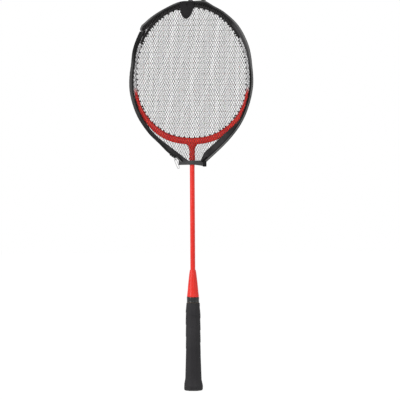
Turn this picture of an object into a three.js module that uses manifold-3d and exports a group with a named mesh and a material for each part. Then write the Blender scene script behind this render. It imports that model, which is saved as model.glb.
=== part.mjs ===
// A badminton racket standing on its butt, with a zipped net cover over its head.
// Millimetres, +Z from the butt to the head, the face of the head towards -Y.
// The origin is the centre of the flat butt end.
import * as THREE from "three";
import { mergeVertices } from "three/addons/utils/BufferGeometryUtils.js";
import Module from "manifold-3d";

const wasm = await Module();
wasm.setup();

// Overall sizes and fits
const racket_length = 666;          // butt face to the outside of the hoop's crown
const fit = 0.3;                    // clearance between two pieces that seat on each other
const overrun = 2;                  // how far a cutting shape passes what it cuts

// Hoop of the head
const hoop_length = 242;
const hoop_width = 202;
const hoop_depth = 10.6;            // front to back
const hoop_wall = 6;                // seen from the front, at the crown and the sides
const hoop_throat_wall = 11.4;      // seen from the front, at the throat
const hoop_groove_depth = 2.2;      // string groove round the outside
const hoop_crown_power = 2;         // a plain ellipse above the middle
const hoop_throat_power = 2.3;      // a fuller oval below it
const hoop_flank_share = 0.3;       // where the wall is deepest, from its inner face
const hoop_rim_share = 0.76;        // depth at the lips of the groove, of the full depth
const hoop_station = 7;             // longest straight stretch of the hoop's facets
const hoop_swell_share = 0.3;       // how far below the middle the wall starts to thicken

// Strings and grommets
const string_diameter = 0.7;
const main_pitch = 8.7;
const main_room = 8;                // least from the outermost main to the hoop
const cross_pitch = 9.3;
const cross_room = 13;              // least from the lowest cross to the hoop
const cross_lift = 0.5;             // middle of the crosses above the middle of the hoop
const least_hole_pitch = 4.6;       // holes closer than this are moved apart
const string_bend = 0.6;            // how far a turn of the string cuts its corner
const string_step = 7;              // longest straight stretch of string in the groove
const gap_probe = 1;                // spacing of the points that a gap is measured at
const gap_near = 6;                 // string closer than this along itself isn't a gap
const bore_clearance = 0.35;        // between a string and the bore of its grommet
const barrel_wall = 0.45;
const barrel_stand = 1.2;           // how far a barrel stands out inside the hoop
const band_thickness = 0.6;         // grommet band lying in the groove
const band_end = 0.6;               // band left beyond the last barrel
const strips_per_side = 4;
const string_sides = 5;
const round_sides = 16;             // facets round the shaft and what fits it

// Throat joint, shaft and ferrule
const shaft_diameter = 8.4;
const shaft_wall = 0.9;
const joint_wall = 0.6;             // of the socket round the shaft
const joint_length = 26.5;
const joint_socket_depth = 18;
const joint_flare_width = 19;
const joint_flare_height = 9;
const joint_peg_height = 6;
const joint_flare_shares = [0, 0.3, 0.6, 0.85, 1];
const cone_length = 47;
const cone_base_diameter = 20.8;
const cone_tip_wall = 0.7;          // round the shaft
const cone_rim_height = 3;

// Handle, grip and butt
const grip_top_height = 151.2;      // above the butt face
const grip_width = 25.3;            // over the flats
const grip_thickness = 1.9;
const grip_ridge = 0.45;            // step of the wound edge
const grip_turn_pitch = 20.6;
const grip_rings = 54;
const grip_top_width = 23;          // where the wound band ends, under the collar
const grip_taper_length = 17;
const flare_width = 32.4;
const flare_top_height = 36;
const flare_full_height = 9;
const collar_height = 9;
const collar_diameter = 21.4;
const collar_thickness = 0.9;
const handle_bore_depth = 96;
const butt_cap_height = 4.8;
const butt_cap_edge = 1.6;
const handle_sides = 8;

// Outline of the net cover
const cover_zip_room = 5;           // hoop to seam, on the zip's side
const cover_side_room = 4.8;        // hoop to seam, on the other side
const cover_crown_room = 5;
const mouth_drop = 27;              // lower end of the hoop to the upper edge of the hem
const mouth_half_width = 22.4;
const seam_middle_drop = 2.1;       // middle of the zip's arc below the middle of the hoop
const net_thickness = 0.8;
const net_cell_width = 25;
const net_cell_height = 50;
const net_hem = 2;                  // plain edge round a net panel
const net_gap_share = 0.84;         // side of an open diamond, of its cell
const least_gap_share = 0.2;        // a diamond cut smaller than this at the hem is left out
const binding_width = 6.3;
const binding_thickness = 0.8;
const binding_wall = 1.3;           // thickness of the standing side of the binding
const binding_shoulder = 1.6;       // how far the binding's corner lies inside the seam
const hem_height = 7.4;
const hem_thickness = 1.4;
const hem_pinch = 2.3;              // mid plane to the hem's centre line, at its ends
const hem_round_share = 0.25;       // the hem lies close to the shaft out to this share
const hem_shares = [0, 0.25, 0.5, 0.75, 1];
const tab_width = 5.6;
const tab_height = 11;
const tab_depth = 5.6;
const tab_lap = 3.8;                // how far the tab reaches in from the seam's end

// Crown and right side of the seam, as shares of the half width and of the height
// above or below the middle of the hoop, from the zip's end round to the mouth
const seam_shares = [
  [-0.811, 0.671], [-0.638, 0.794], [-0.426, 0.903], [-0.179, 0.992], [0.02, 1],
  [0.208, 0.996], [0.356, 0.93], [0.535, 0.848], [0.763, 0.667], [0.896, 0.466],
  [0.952, 0.325], [0.988, 0.119], [1, -0.142], [0.921, -0.394], [0.803, -0.581],
  [0.652, -0.73], [0.48, -0.86], [0.268, -1],
];
// Inner edge of each black wedge, down to the mouth, in the same shares
const left_wedge_shares = [[-0.572, -0.723], [-0.075, -1]];
const right_wedge_shares = [[0.595, -0.657], [0.219, -0.918], [0.161, -1]];

// Zip along the left seam
const zip_foot_room = 6.86;         // along the seam, from the mouth to the teeth
const zip_top_share = 0.5843;       // height of the zip's end, of the crown's height
const slider_foot_room = 1.29;      // along the seam, from the teeth's end to the slider
const zip_steps = 16;
const seam_steps = 24;
const fold_past = 4.72;             // along the seam, from the zip's end to the fold
const tape_lap_share = 0.6;         // of the tape's width, clear of the binding
const tape_thickness = 0.6;
const tape_width = 3.4;
const teeth_width = 1;
const teeth_thickness = 1.2;
const teeth_parting = 1.4;          // between the two rows, where the slider's post runs
const stop_length = 1.6;
const slider_length = 11;
const slider_width = 6.8;
const slider_plate = 1;
const slider_play = 0.8;            // between the teeth and each plate
const post_length = 3;
const post_thickness = 0.7;
const eye_diameter = 3.4;
const eye_wire = 1;
const eye_reach = 1.5;              // eye's middle beyond the end of the plate
const eye_lift = 0.9;               // eye's middle above the middle of the plate
const wire_sides = 6;
const wire_turns = 8;               // facets in each half turn of the pull
const puller_length = 17;
const puller_width = 3.6;
const puller_wire = 1.1;
const puller_lean = 22;             // degrees from hanging straight down

// Tongue and hanging loop at the crown
const tongue_length = 29;
const tongue_width = 24;
const tongue_tip_radius = 5.4;
const tongue_thickness = 1.4;
const tongue_middle = -7;
const tongue_waist_share = 0.87;    // of the width, where the sides start to close in
const tongue_waist_drop_share = 0.42;
const curve_steps = 6;
const slit_length = 7;
const slit_width = 1.2;
const slit_drop = 3;
const loop_middle = 10;
const loop_span = 22.5;             // between the middles of the two legs
const loop_height = 22;
const loop_webbing_width = 8;
const loop_webbing_thickness = 1.4;

// Worked out from the sizes above
const hoop_middle = racket_length - hoop_length / 2;
const layer_shift = (string_diameter + fit) / 2;
const string_radius = string_diameter / 2;
const bore_half = string_radius + bore_clearance;
const bore_half_depth = layer_shift + string_radius + bore_clearance - fit / 3;
const barrel_half = bore_half + barrel_wall;
const barrel_half_depth = bore_half_depth + barrel_wall;
const hole_half = barrel_half + fit;
const hole_half_depth = barrel_half_depth + fit;
const face_in = hoop_depth / 2 + fit;
const face_out = face_in + net_thickness;
const mouth_height = hoop_middle - hoop_length / 2 - mouth_drop;
const degree = Math.PI / 180;
const main_side = Math.floor(
  (hoop_width / 2 - hoop_wall - main_room) / main_pitch + 0.5);
const cross_side = Math.floor(
  (hoop_length / 2 - hoop_throat_wall - cross_room) / cross_pitch);
const main_count = 2 * main_side;
const cross_count = 2 * cross_side + 1;
const joint_diameter = shaft_diameter + 2 * fit + 2 * joint_wall;
const cone_tip_diameter = shaft_diameter + 2 * fit + 2 * cone_tip_wall;
const cone_base_height = grip_top_height + collar_height + 2 * fit;

// Materials, one for each finish
const finish = (color, roughness, metalness = 0) =>
  new THREE.MeshStandardMaterial({ color, roughness, metalness });
const red_paint = finish("#e42a26", 0.25);
const silver_paint = finish("#d9d9da", 0.3);
const black_plastic = finish("#171718", 0.45);
const white_string = finish("#f1f0ea", 0.4);
const wood = finish("#c79a62", 0.7);
const grip_skin = finish("#302e31", 0.85);
const collar_vinyl = finish("#141414", 0.3);
const black_binding = finish("#242424", 0.8);
const grey_webbing = finish("#565252", 0.85);
const net_thread = finish("#3c3838", 0.8);
const zip_metal = finish("#b9b7b4", 0.35, 0.9);

const part = new THREE.Group();

function add(name, geometry, material) {
  const mesh = new THREE.Mesh(geometry, material);
  mesh.name = name;
  part.add(mesh);
  return mesh;
}

// Geometry helpers
function plain(geometry) {
  const bare = geometry.clone();
  bare.deleteAttribute("normal");
  bare.deleteAttribute("uv");
  return mergeVertices(bare);
}

function toSolid(geometry) {
  const bare = plain(geometry);
  return new wasm.Manifold(new wasm.Mesh({
    numProp: 3,
    vertProperties: new Float32Array(bare.attributes.position.array),
    triVerts: new Uint32Array(bare.index.array),
  }));
}

function toGeometry(solid) {
  const mesh = solid.getMesh();
  const geometry = new THREE.BufferGeometry();
  geometry.setAttribute("position", new THREE.BufferAttribute(mesh.vertProperties, 3));
  geometry.setIndex(new THREE.BufferAttribute(mesh.triVerts, 1));
  return geometry;
}

// A surface from points and triangles, turned so that its faces look out
function facingOut(points, index) {
  let volume = 0;
  for (let i = 0; i < index.length; i += 3) {
    const [a, b, c] = [points[index[i]], points[index[i + 1]], points[index[i + 2]]];
    volume += a.dot(new THREE.Vector3().crossVectors(b, c));
  }
  const turned = volume < 0 ? index.slice().reverse() : index;
  const geometry = new THREE.BufferGeometry().setFromPoints(points);
  geometry.setIndex(turned);
  return geometry;
}

// A skin over like sections; an open one is capped with the triangles of its section
function loft(sections, closed, capTriangles = []) {
  const count = sections[0].length;
  const index = [];
  const last = closed ? sections.length : sections.length - 1;
  for (let i = 0; i < last; i++) {
    const here = i * count;
    const next = ((i + 1) % sections.length) * count;
    for (let k = 0; k < count; k++) {
      const side = (k + 1) % count;
      index.push(here + k, here + side, next + k, next + k, here + side, next + side);
    }
  }
  if (!closed) {
    const end = (sections.length - 1) * count;
    for (const [a, b, c] of capTriangles) {
      index.push(a, c, b);
      index.push(end + a, end + b, end + c);
    }
  }
  return facingOut(sections.flat(), index);
}

// Triangles of a section, all from one of its corners
function fan(count, corner = 0) {
  return Array.from({ length: count - 2 }, (_, k) =>
    [corner, (corner + k + 1) % count, (corner + k + 2) % count]);
}

// A plate seen whole from the front, with its front face at a depth
function flatPiece(outline, holes, thickness, front) {
  const shape = new THREE.Shape(outline.map(([x, z]) => new THREE.Vector2(x, z)));
  for (const hole of holes) {
    shape.holes.push(new THREE.Path(hole.map(([x, z]) => new THREE.Vector2(x, z))));
  }
  const slab = new THREE.ExtrudeGeometry(shape, { depth: thickness, bevelEnabled: false });
  slab.rotateX(Math.PI / 2);
  slab.translate(0, front + thickness, 0);
  return slab;
}

function block(lengthX, lengthY, lengthZ, x, y, z) {
  return new THREE.BoxGeometry(lengthX, lengthY, lengthZ).translate(x, y, z);
}

// A profile turned about the racket's axis, with flats towards X and Y
function turned(profile, sides) {
  const points = profile.map(([radius, z]) => new THREE.Vector2(radius, z));
  const body = new THREE.LatheGeometry(points, sides);
  body.rotateY(Math.PI / sides);
  body.rotateX(Math.PI / 2);
  body.scale(1, -1, 1);
  const bare = plain(body);
  const spots = [];
  for (let i = 0; i < bare.attributes.position.count; i++) {
    spots.push(new THREE.Vector3().fromBufferAttribute(bare.attributes.position, i));
  }
  const index = [];
  for (let i = 0; i < bare.index.count; i += 3) {
    const triple = [bare.index.getX(i), bare.index.getX(i + 1), bare.index.getX(i + 2)];
    if (new Set(triple).size === 3) index.push(...triple);
  }
  return facingOut(spots, index);
}

// Corner radius of a regular prism that is this wide over its flats
const cornerRadius = (width, sides) => width / 2 / Math.cos(Math.PI / sides);

// A route through points laid by hand, swept as they are
class LaidRoute extends THREE.Curve {
  constructor(points) {
    super();
    this.points = points;
  }

  getPoint(share) {
    return this.points[Math.round(share * (this.points.length - 1))].clone();
  }

  getPointAt(share) {
    return this.getPoint(share);
  }

  getTangentAt(share) {
    const last = this.points.length - 1;
    const i = Math.round(share * last);
    const before = this.points[Math.max(i - 1, 0)];
    const here = this.points[i];
    const after = this.points[Math.min(i + 1, last)];
    const coming = new THREE.Vector3().subVectors(here, before).normalize();
    const going = new THREE.Vector3().subVectors(after, here).normalize();
    return coming.add(going).normalize();
  }
}

function round(radius, sides) {
  const corners = Array.from({ length: sides }, (_, k) => {
    const turn = 2 * Math.PI * k / sides;
    return new THREE.Vector2(radius * Math.cos(turn), radius * Math.sin(turn));
  });
  return new THREE.Shape(corners);
}

function cord(points, radius, sides) {
  return new THREE.ExtrudeGeometry(round(radius, sides), {
    steps: points.length - 1,
    extrudePath: new LaidRoute(points),
  });
}

// The hoop's outside curve, its outward normal and its wall at an angle from +X
function hoopAt(angle) {
  const [c, s] = [Math.cos(angle), Math.sin(angle)];
  const power = s >= 0 ? hoop_crown_power : hoop_throat_power;
  const [a, b] = [hoop_width / 2, hoop_length / 2];
  const x = a * Math.sign(c) * Math.abs(c) ** (2 / power);
  const z = b * Math.sign(s) * Math.abs(s) ** (2 / power);
  const nx = Math.sign(c) * Math.abs(x / a) ** (power - 1) / a;
  const nz = Math.sign(s) * Math.abs(z / b) ** (power - 1) / b;
  const size = Math.hypot(nx, nz);
  const low = THREE.MathUtils.smoothstep(-z / b, hoop_swell_share, 1);
  const wall = hoop_wall + (hoop_throat_wall - hoop_wall) * low;
  return { x, z, nx: nx / size, nz: nz / size, wall };
}

// Runs are measured along the inner face, from the crown down the right side and back
const run_steps = 720;
const halvings = 40;
const spacing_passes = 60;
const run_table = [{ angle: Math.PI / 2, run: 0 }];
for (let i = 1; i <= run_steps; i++) {
  const angle = Math.PI / 2 - Math.PI * i / run_steps;
  const before = hoopAt(run_table[i - 1].angle);
  const here = hoopAt(angle);
  const dx = here.x - here.nx * here.wall - before.x + before.nx * before.wall;
  const dz = here.z - here.nz * here.wall - before.z + before.nz * before.wall;
  run_table.push({ angle, run: run_table[i - 1].run + Math.hypot(dx, dz) });
}
const half_run = run_table[run_steps].run;

// The hoop's section at a run; beyond the throat it is that of the other side, mirrored
function hoopSection(run) {
  const whole = (run % (2 * half_run) + 2 * half_run) % (2 * half_run);
  const mirrored = whole > half_run;
  const value = mirrored ? 2 * half_run - whole : whole;
  let [low, high] = [0, run_steps];
  while (high - low > 1) {
    const middle = Math.floor((low + high) / 2);
    if (run_table[middle].run < value) low = middle;
    else high = middle;
  }
  const [p, q] = [run_table[low], run_table[high]];
  const share = (value - p.run) / (q.run - p.run);
  return { ...hoopAt(p.angle + share * (q.angle - p.angle)), mirrored };
}

const wallAt = (run) => hoopSection(run).wall;

// A point of the hoop: its run, how far out of the inner face it lies, and its depth
function hoopPlace(run, out, y) {
  const { x, z, nx, nz, wall, mirrored } = hoopSection(run);
  const place_x = x - nx * (wall - out);
  return new THREE.Vector3(mirrored ? -place_x : place_x, y,
    hoop_middle + z - nz * (wall - out));
}

// Where the string leaves its grommet inside the hoop
const exit_out = -(barrel_stand + string_bend);

// The run at which a string's exit lies at a given x or z, between two runs
function runWhere(axis, value, low, high) {
  const rising = hoopPlace(high, exit_out, 0)[axis] > hoopPlace(low, exit_out, 0)[axis];
  let [a, b] = [low, high];
  for (let i = 0; i < halvings; i++) {
    const middle = (a + b) / 2;
    if ((hoopPlace(middle, exit_out, 0)[axis] < value) === rising) a = middle;
    else b = middle;
  }
  return (a + b) / 2;
}

// Holes of the right half: the mains' upper and lower ends, and the crosses' ends
const side_run = runWhere("z", hoop_middle, 0, half_run);
const holes = [];
for (let i = 0; i < main_side; i++) {
  const x = main_pitch * (i + 0.5);
  holes.push({ string: "main", row: i, end: "upper", run: runWhere("x", x, 0, side_run) });
  holes.push({ string: "main", row: i, end: "lower", run: runWhere("x", x, side_run, half_run) });
}
for (let j = 0; j < cross_count; j++) {
  const z = hoop_middle + cross_lift + cross_pitch * (cross_side - j);
  holes.push({ string: "cross", row: j, end: "side", run: runWhere("z", z, 0, half_run) });
}
holes.sort((p, q) => p.run - q.run);
for (let pass = 0; pass < spacing_passes; pass++) {
  for (let i = 1; i < holes.length; i++) {
    const lack = least_hole_pitch - (holes[i].run - holes[i - 1].run);
    if (lack > 0) {
      holes[i].run += lack / 2;
      holes[i - 1].run -= lack / 2;
    }
  }
}

// Head frame: one ring with a groove outside and a hole through it for each grommet
function headFrame() {
  const runs = [];
  for (const hole of holes) runs.push(hole.run, 2 * half_run - hole.run);
  runs.push(half_run);
  runs.sort((p, q) => p - q);
  const stations = [];
  runs.forEach((run, i) => {
    stations.push({ run: run - hole_half, open: true });
    stations.push({ run: run + hole_half, open: false });
    const next = i + 1 < runs.length ? runs[i + 1] : runs[0] + 2 * half_run;
    const plain_run = next - run - 2 * hole_half;
    const extra = Math.ceil(plain_run / hoop_station) - 1;
    for (let k = 1; k <= extra; k++) {
      stations.push({ run: run + hole_half + plain_run * k / (extra + 1), open: false });
    }
  });
  const rim = hoop_depth / 2 * hoop_rim_share;
  const points = [];
  const rings = stations.map(({ run }) => {
    const wall = wallAt(run);
    const floor = wall - hoop_groove_depth;
    const section = [
      [0, -hole_half_depth], [0, hole_half_depth],
      [wall * hoop_flank_share, hoop_depth / 2], [wall, rim],
      [floor, hole_half_depth], [floor, -hole_half_depth],
      [wall, -rim], [wall * hoop_flank_share, -hoop_depth / 2],
    ];
    return section.map(([out, y]) => points.push(hoopPlace(run, out, y)) - 1);
  });
  const index = [];
  const quad = (a, b, c, d) => index.push(a, b, c, a, c, d);
  stations.forEach(({ open }, i) => {
    const here = rings[i];
    const next = rings[(i + 1) % rings.length];
    here.forEach((corner, k) => {
      if (open && (k === 0 || k === 4)) return;
      const side = (k + 1) % here.length;
      quad(corner, here[side], next[side], next[k]);
    });
    if (open) {
      quad(here[1], next[1], next[4], here[4]);
      quad(next[0], here[0], here[5], next[5]);
      quad(here[0], here[1], here[4], here[5]);
      quad(next[1], next[0], next[5], next[4]);
    }
  });
  return facingOut(points, index);
}

// A grommet strip: a band in the groove with a bored barrel through each hole
function grommetStrip(runs) {
  const points = [];
  const index = [];
  const spot = (run, out, y) => points.push(hoopPlace(run, out, y)) - 1;
  const quad = (a, b, c, d) => index.push(a, b, c, a, c, d);
  const tip = -barrel_stand;
  const y = barrel_half_depth;
  // Corners of the band at one run: low back, low front, top front, top back
  const bandCorners = (run) => {
    const low = wallAt(run) - hoop_groove_depth + fit;
    const top = low + band_thickness;
    return [spot(run, low, y), spot(run, low, -y), spot(run, top, -y), spot(run, top, y)];
  };
  const skin = (p, q) => {
    for (let k = 0; k < 4; k++) quad(p[k], p[(k + 1) % 4], q[(k + 1) % 4], q[k]);
  };
  let open = bandCorners(runs[0] - barrel_half - band_end);
  quad(open[0], open[3], open[2], open[1]);
  for (const run of runs) {
    const [from, to] = [run - barrel_half, run + barrel_half];
    const [b0, b1] = [run - bore_half, run + bore_half];
    const first = bandCorners(from);
    const last = bandCorners(to);
    skin(open, first);
    const top = (at) => wallAt(at) - hoop_groove_depth + fit + band_thickness;
    const bore = [[b0, -1], [b1, -1], [b1, 1], [b0, 1]];
    const mouth = bore.map(([at, s]) => spot(at, top(at), s * bore_half_depth));
    const end = bore.map(([at, s]) => spot(at, tip, s * bore_half_depth));
    const foot = [[from, -1], [to, -1], [to, 1], [from, 1]].map(([at, s]) => spot(at, tip, s * y));
    const rim = [first[2], last[2], last[3], first[3]];
    const low = [first[1], last[1], last[0], first[0]];
    for (let k = 0; k < 4; k++) {
      const n = (k + 1) % 4;
      quad(rim[n], rim[k], mouth[k], mouth[n]);
      quad(mouth[n], mouth[k], end[k], end[n]);
      quad(end[n], end[k], foot[k], foot[n]);
      quad(foot[n], foot[k], low[k], low[n]);
      if (k === 0 || k === 2) quad(low[n], low[k], rim[k], rim[n]);
    }
    open = last;
  }
  const close = bandCorners(runs[runs.length - 1] + barrel_half + band_end);
  skin(open, close);
  quad(close[0], close[1], close[2], close[3]);
  return facingOut(points, index);
}

// Route of a string that goes to and fro through its grommets
const groove_out = (run) =>
  wallAt(run) - hoop_groove_depth + fit + band_thickness + fit + string_radius;

function stringRoute(passes, y) {
  const route = [];
  passes.forEach(([from, to], i) => {
    route.push(hoopPlace(from, groove_out(from) - string_bend, y));
    route.push(hoopPlace(from, exit_out, y));
    route.push(hoopPlace(to, exit_out, y));
    route.push(hoopPlace(to, groove_out(to) - string_bend, y));
    if (i + 1 === passes.length) return;
    let next = passes[i + 1][0];
    if (next - to > half_run) next -= 2 * half_run;
    if (to - next > half_run) next += 2 * half_run;
    const way = Math.sign(next - to);
    const [start, stop] = [to + way * string_bend, next - way * string_bend];
    const steps = Math.max(1, Math.ceil(Math.abs(stop - start) / string_step));
    for (let k = 0; k <= steps; k++) {
      const run = start + (stop - start) * k / steps;
      route.push(hoopPlace(run, groove_out(run), y));
    }
  });
  return route;
}

function leastGap(route, radius) {
  const spots = [];
  let length = 0;
  route.forEach((point, i) => {
    if (i === 0) return;
    const step = point.distanceTo(route[i - 1]);
    const count = Math.max(1, Math.ceil(step / gap_probe));
    for (let k = 0; k < count; k++) {
      const share = k / count;
      const at = route[i - 1].clone().lerp(point, share);
      spots.push({ at, length: length + step * share });
    }
    length += step;
  });
  let least = Infinity;
  for (let i = 0; i < spots.length; i++) {
    for (let j = i + 1; j < spots.length; j++) {
      if (spots[j].length - spots[i].length < gap_near) continue;
      least = Math.min(least, spots[i].at.distanceTo(spots[j].at));
    }
  }
  return least - 2 * radius;
}

const findHole = (string, row, end) =>
  holes.find((hole) => hole.string === string && hole.row === row && hole.end === end).run;

// Mains from left to right; the turn between the two middle ones is at the crown
function mainPasses() {
  const half = main_side;
  return Array.from({ length: main_count }, (_, i) => {
    const right = i >= half;
    const row = right ? i - half : half - 1 - i;
    const ends = ["upper", "lower"].map((end) => {
      const run = findHole("main", row, end);
      return right ? run : 2 * half_run - run;
    });
    return (i % 2 === (half - 1) % 2) ? [ends[1], ends[0]] : ends;
  });
}

function crossPasses() {
  return Array.from({ length: cross_count }, (_, j) => {
    const run = findHole("cross", j, "side");
    const ends = [run, 2 * half_run - run];
    return j % 2 ? [ends[1], ends[0]] : ends;
  });
}

add("head_frame", headFrame(), silver_paint);
for (const side of ["right", "left"]) {
  const runs = holes.map((hole) => side === "right" ? hole.run : 2 * half_run - hole.run);
  const size = Math.ceil(runs.length / strips_per_side);
  for (let k = 0; k < strips_per_side; k++) {
    const mine = runs.slice(k * size, (k + 1) * size).sort((p, q) => p - q);
    add(`grommet_strip_${side}_${k + 1}`, grommetStrip(mine), black_plastic);
  }
}
for (const [name, passes, y] of [
  ["main_string", mainPasses(), layer_shift],
  ["cross_string", crossPasses(), -layer_shift],
]) {
  const route = stringRoute(passes, y);
  add(name, cord(route, string_radius, string_sides), white_string);
  console.log(`${name}: least gap to itself ${leastGap(route, string_radius).toFixed(2)} mm`);
}

// Throat joint: a socket for the shaft, flared to the hoop, with a peg in its hole
function throatJoint() {
  const top = hoop_middle - hoop_length / 2 - fit;
  const foot = top - joint_length;
  const half_depth = joint_diameter / 2;
  const ring = (z, half_width) => Array.from({ length: round_sides }, (_, k) => {
    const turn = 2 * Math.PI * k / round_sides;
    return new THREE.Vector3(half_width * Math.cos(turn), half_depth * Math.sin(turn), z);
  });
  const flare = joint_flare_shares.map((share) => {
    const spread = (joint_flare_width - joint_diameter) / 2 * share ** 3;
    return ring(top - joint_flare_height * (1 - share), joint_diameter / 2 + spread);
  });
  const body = loft([ring(foot, joint_diameter / 2), ...flare], false, fan(round_sides));
  const socket = new THREE.CylinderGeometry(
    bore_radius, bore_radius, joint_socket_depth + overrun, round_sides);
  socket.rotateX(Math.PI / 2);
  socket.translate(0, 0, foot + (joint_socket_depth - overrun) / 2);
  const peg = block(2 * (hole_half - fit), 2 * (hole_half_depth - fit),
    joint_peg_height + overrun, 0, 0, top + (joint_peg_height - overrun) / 2);
  return toGeometry(toSolid(body).subtract(toSolid(socket)).add(toSolid(peg)));
}

const handle_floor = butt_cap_height + fit;
const shaft_foot = cone_base_height - handle_bore_depth + fit;
const shaft_top = hoop_middle - hoop_length / 2 - joint_length + joint_socket_depth - 2 * fit;
const shaft_radius = shaft_diameter / 2;
const bore_radius = cornerRadius(shaft_diameter + 2 * fit, round_sides);

add("throat_joint", throatJoint(), red_paint);
add("shaft", turned([
  [shaft_radius, shaft_foot], [shaft_radius, shaft_top],
  [shaft_radius - shaft_wall, shaft_top], [shaft_radius - shaft_wall, shaft_foot],
  [shaft_radius, shaft_foot],
], round_sides), red_paint);

add("cone_ferrule", turned([
  [cone_base_diameter / 2, cone_base_height],
  [cone_base_diameter / 2, cone_base_height + cone_rim_height],
  [(cone_base_diameter + cone_tip_diameter) / 4, cone_base_height + cone_length / 2],
  [cone_tip_diameter / 2, cone_base_height + cone_length - cone_rim_height],
  [cone_tip_diameter / 2, cone_base_height + cone_length],
  [bore_radius, cone_base_height + cone_length],
  [bore_radius, cone_base_height],
  [cone_base_diameter / 2, cone_base_height],
], round_sides), red_paint);

// Handle core with its shaft bore and flared butt, under the wound grip
const core_width = grip_width - 2 * grip_thickness;
const core_flare_width = flare_width - 2 * grip_thickness;
const core_top_width = grip_top_width - 2 * grip_thickness;
const taper_height = grip_top_height - grip_taper_length;
const neck_width = collar_diameter - 2 * collar_thickness - 2 * fit;
const octagon = (width) => cornerRadius(width, handle_sides);
add("handle_core", turned([
  [0, handle_floor],
  [octagon(core_flare_width), handle_floor],
  [octagon(core_flare_width), flare_full_height],
  [octagon(core_width), flare_top_height],
  [octagon(core_width), taper_height],
  [octagon(core_top_width), grip_top_height],
  [octagon(neck_width), grip_top_height],
  [octagon(neck_width), cone_base_height - fit],
  [octagon(shaft_diameter + 2 * fit), cone_base_height - fit],
  [octagon(shaft_diameter + 2 * fit), cone_base_height - handle_bore_depth],
  [0, cone_base_height - handle_bore_depth],
], handle_sides), wood);

// Width of the handle core, over its flats, at a height
function coreWidth(z) {
  const flared = THREE.MathUtils.clamp(
    (flare_top_height - z) / (flare_top_height - flare_full_height), 0, 1);
  const tapered = THREE.MathUtils.clamp((z - taper_height) / grip_taper_length, 0, 1);
  return core_width + (core_flare_width - core_width) * flared
    + (core_top_width - core_width) * tapered;
}

// Grip: a leatherette band wound upwards, each turn's lower edge standing over the last
function gripWrap() {
  const levels = [handle_floor];
  for (let i = 0; i <= grip_rings; i++) {
    const share = i / grip_rings;
    levels.push(flare_full_height + (grip_top_height - flare_full_height) * share);
  }
  const ring = (z, thickness, wound) => Array.from({ length: handle_sides }, (_, k) => {
    const turn = 2 * Math.PI * (k + 0.5) / handle_sides;
    const phase = z / grip_turn_pitch + k / handle_sides;
    const step = wound ? -grip_ridge * (phase - Math.floor(phase)) : 0;
    const radius = octagon(coreWidth(z) + 2 * thickness) + step;
    return new THREE.Vector3(radius * Math.cos(turn), radius * Math.sin(turn), z);
  });
  const outside = levels.map((z) => ring(z, grip_thickness, true));
  const inside = [
    grip_top_height, taper_height, flare_top_height, flare_full_height, handle_floor,
  ].map((z) => ring(z, fit, false));
  return loft([...outside, ...inside], true);
}
add("grip_wrap", gripWrap(), grip_skin);

const collar_outer = cornerRadius(collar_diameter, round_sides);
add("grip_collar", turned([
  [collar_outer, grip_top_height + fit], [collar_outer, cone_base_height - fit],
  [octagon(neck_width) + fit, cone_base_height - fit],
  [octagon(neck_width) + fit, grip_top_height + fit],
  [collar_outer, grip_top_height + fit],
], round_sides), collar_vinyl);

const cap_radius = cornerRadius(flare_width, handle_sides);
add("butt_cap", turned([
  [0, 0], [cap_radius - butt_cap_edge, 0], [cap_radius, butt_cap_edge],
  [cap_radius, butt_cap_height], [0, butt_cap_height],
], handle_sides), black_plastic);

// Seam of the cover: the zip's arc up the left side, then the crown and the right side.
// The arc's middle lies level with the widest point of the cover.
const left_half = hoop_width / 2 + cover_zip_room;
const right_half = hoop_width / 2 + cover_side_room;
const crown_rise = hoop_length / 2 + cover_crown_room;
const mouth_fall = hoop_middle - mouth_height;
const seam_middle = hoop_middle - seam_middle_drop;
const arc_inset = left_half - mouth_half_width;
const arc_fall = seam_middle - mouth_height;
const seam_radius = (arc_inset ** 2 + arc_fall ** 2) / (2 * arc_inset);
const seam_centre = seam_radius - left_half;
// Angles at the arc's centre, in degrees below its level
const arcAngle = (length) => length / seam_radius / degree;
const mouth_angle = Math.asin(arc_fall / seam_radius) / degree;
const zip_low_angle = mouth_angle - arcAngle(zip_foot_room);
const zip_high_angle = -Math.asin(
  (crown_rise * zip_top_share + seam_middle_drop) / seam_radius) / degree;
const zip_rest_angle = zip_low_angle - arcAngle(slider_foot_room + slider_length / 2);

function seamPlace(share) {
  const [sx, sz] = share;
  const x = sx * (sx < 0 ? left_half : right_half);
  return [x, hoop_middle + sz * (sz < 0 ? mouth_fall : crown_rise)];
}

function arcPoint(angle, out = 0) {
  const radius = seam_radius + out;
  return [seam_centre - radius * Math.cos(angle * degree),
    seam_middle - radius * Math.sin(angle * degree)];
}

const seam_curve = new THREE.CatmullRomCurve3(seam_shares.map((share) => {
  const [x, z] = seamPlace(share);
  return new THREE.Vector3(x, 0, z);
}), false, "centripetal");
const seam = [];
for (let i = 0; i <= zip_steps; i++) {
  const angle = mouth_angle + (zip_high_angle - mouth_angle) * i / zip_steps;
  seam.push({ place: arcPoint(angle), zipped: true });
}
for (let i = 0; i <= seam_steps; i++) {
  const point = seam_curve.getPointAt(i / seam_steps);
  seam.push({ place: [point.x, point.z], zipped: false });
}

// Outward normals of the seam, lengthened at a corner so that a band keeps its width
seam.forEach((station, i) => {
  const before = seam[Math.max(i - 1, 0)].place;
  const after = seam[Math.min(i + 1, seam.length - 1)].place;
  const here = station.place;
  const into = [here[0] - before[0], here[1] - before[1]];
  const out_of = [after[0] - here[0], after[1] - here[1]];
  const left = ([dx, dz]) => {
    const size = Math.hypot(dx, dz);
    return size === 0 ? null : [-dz / size, dx / size];
  };
  const sides = [left(into), left(out_of)].filter(Boolean);
  const sum = [0, 1].map((k) => sides.reduce((total, side) => total + side[k], 0));
  const size = Math.hypot(...sum);
  const stretch = sides.length / size;
  station.normal = sum.map((value) => value / size * stretch);
});

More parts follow.
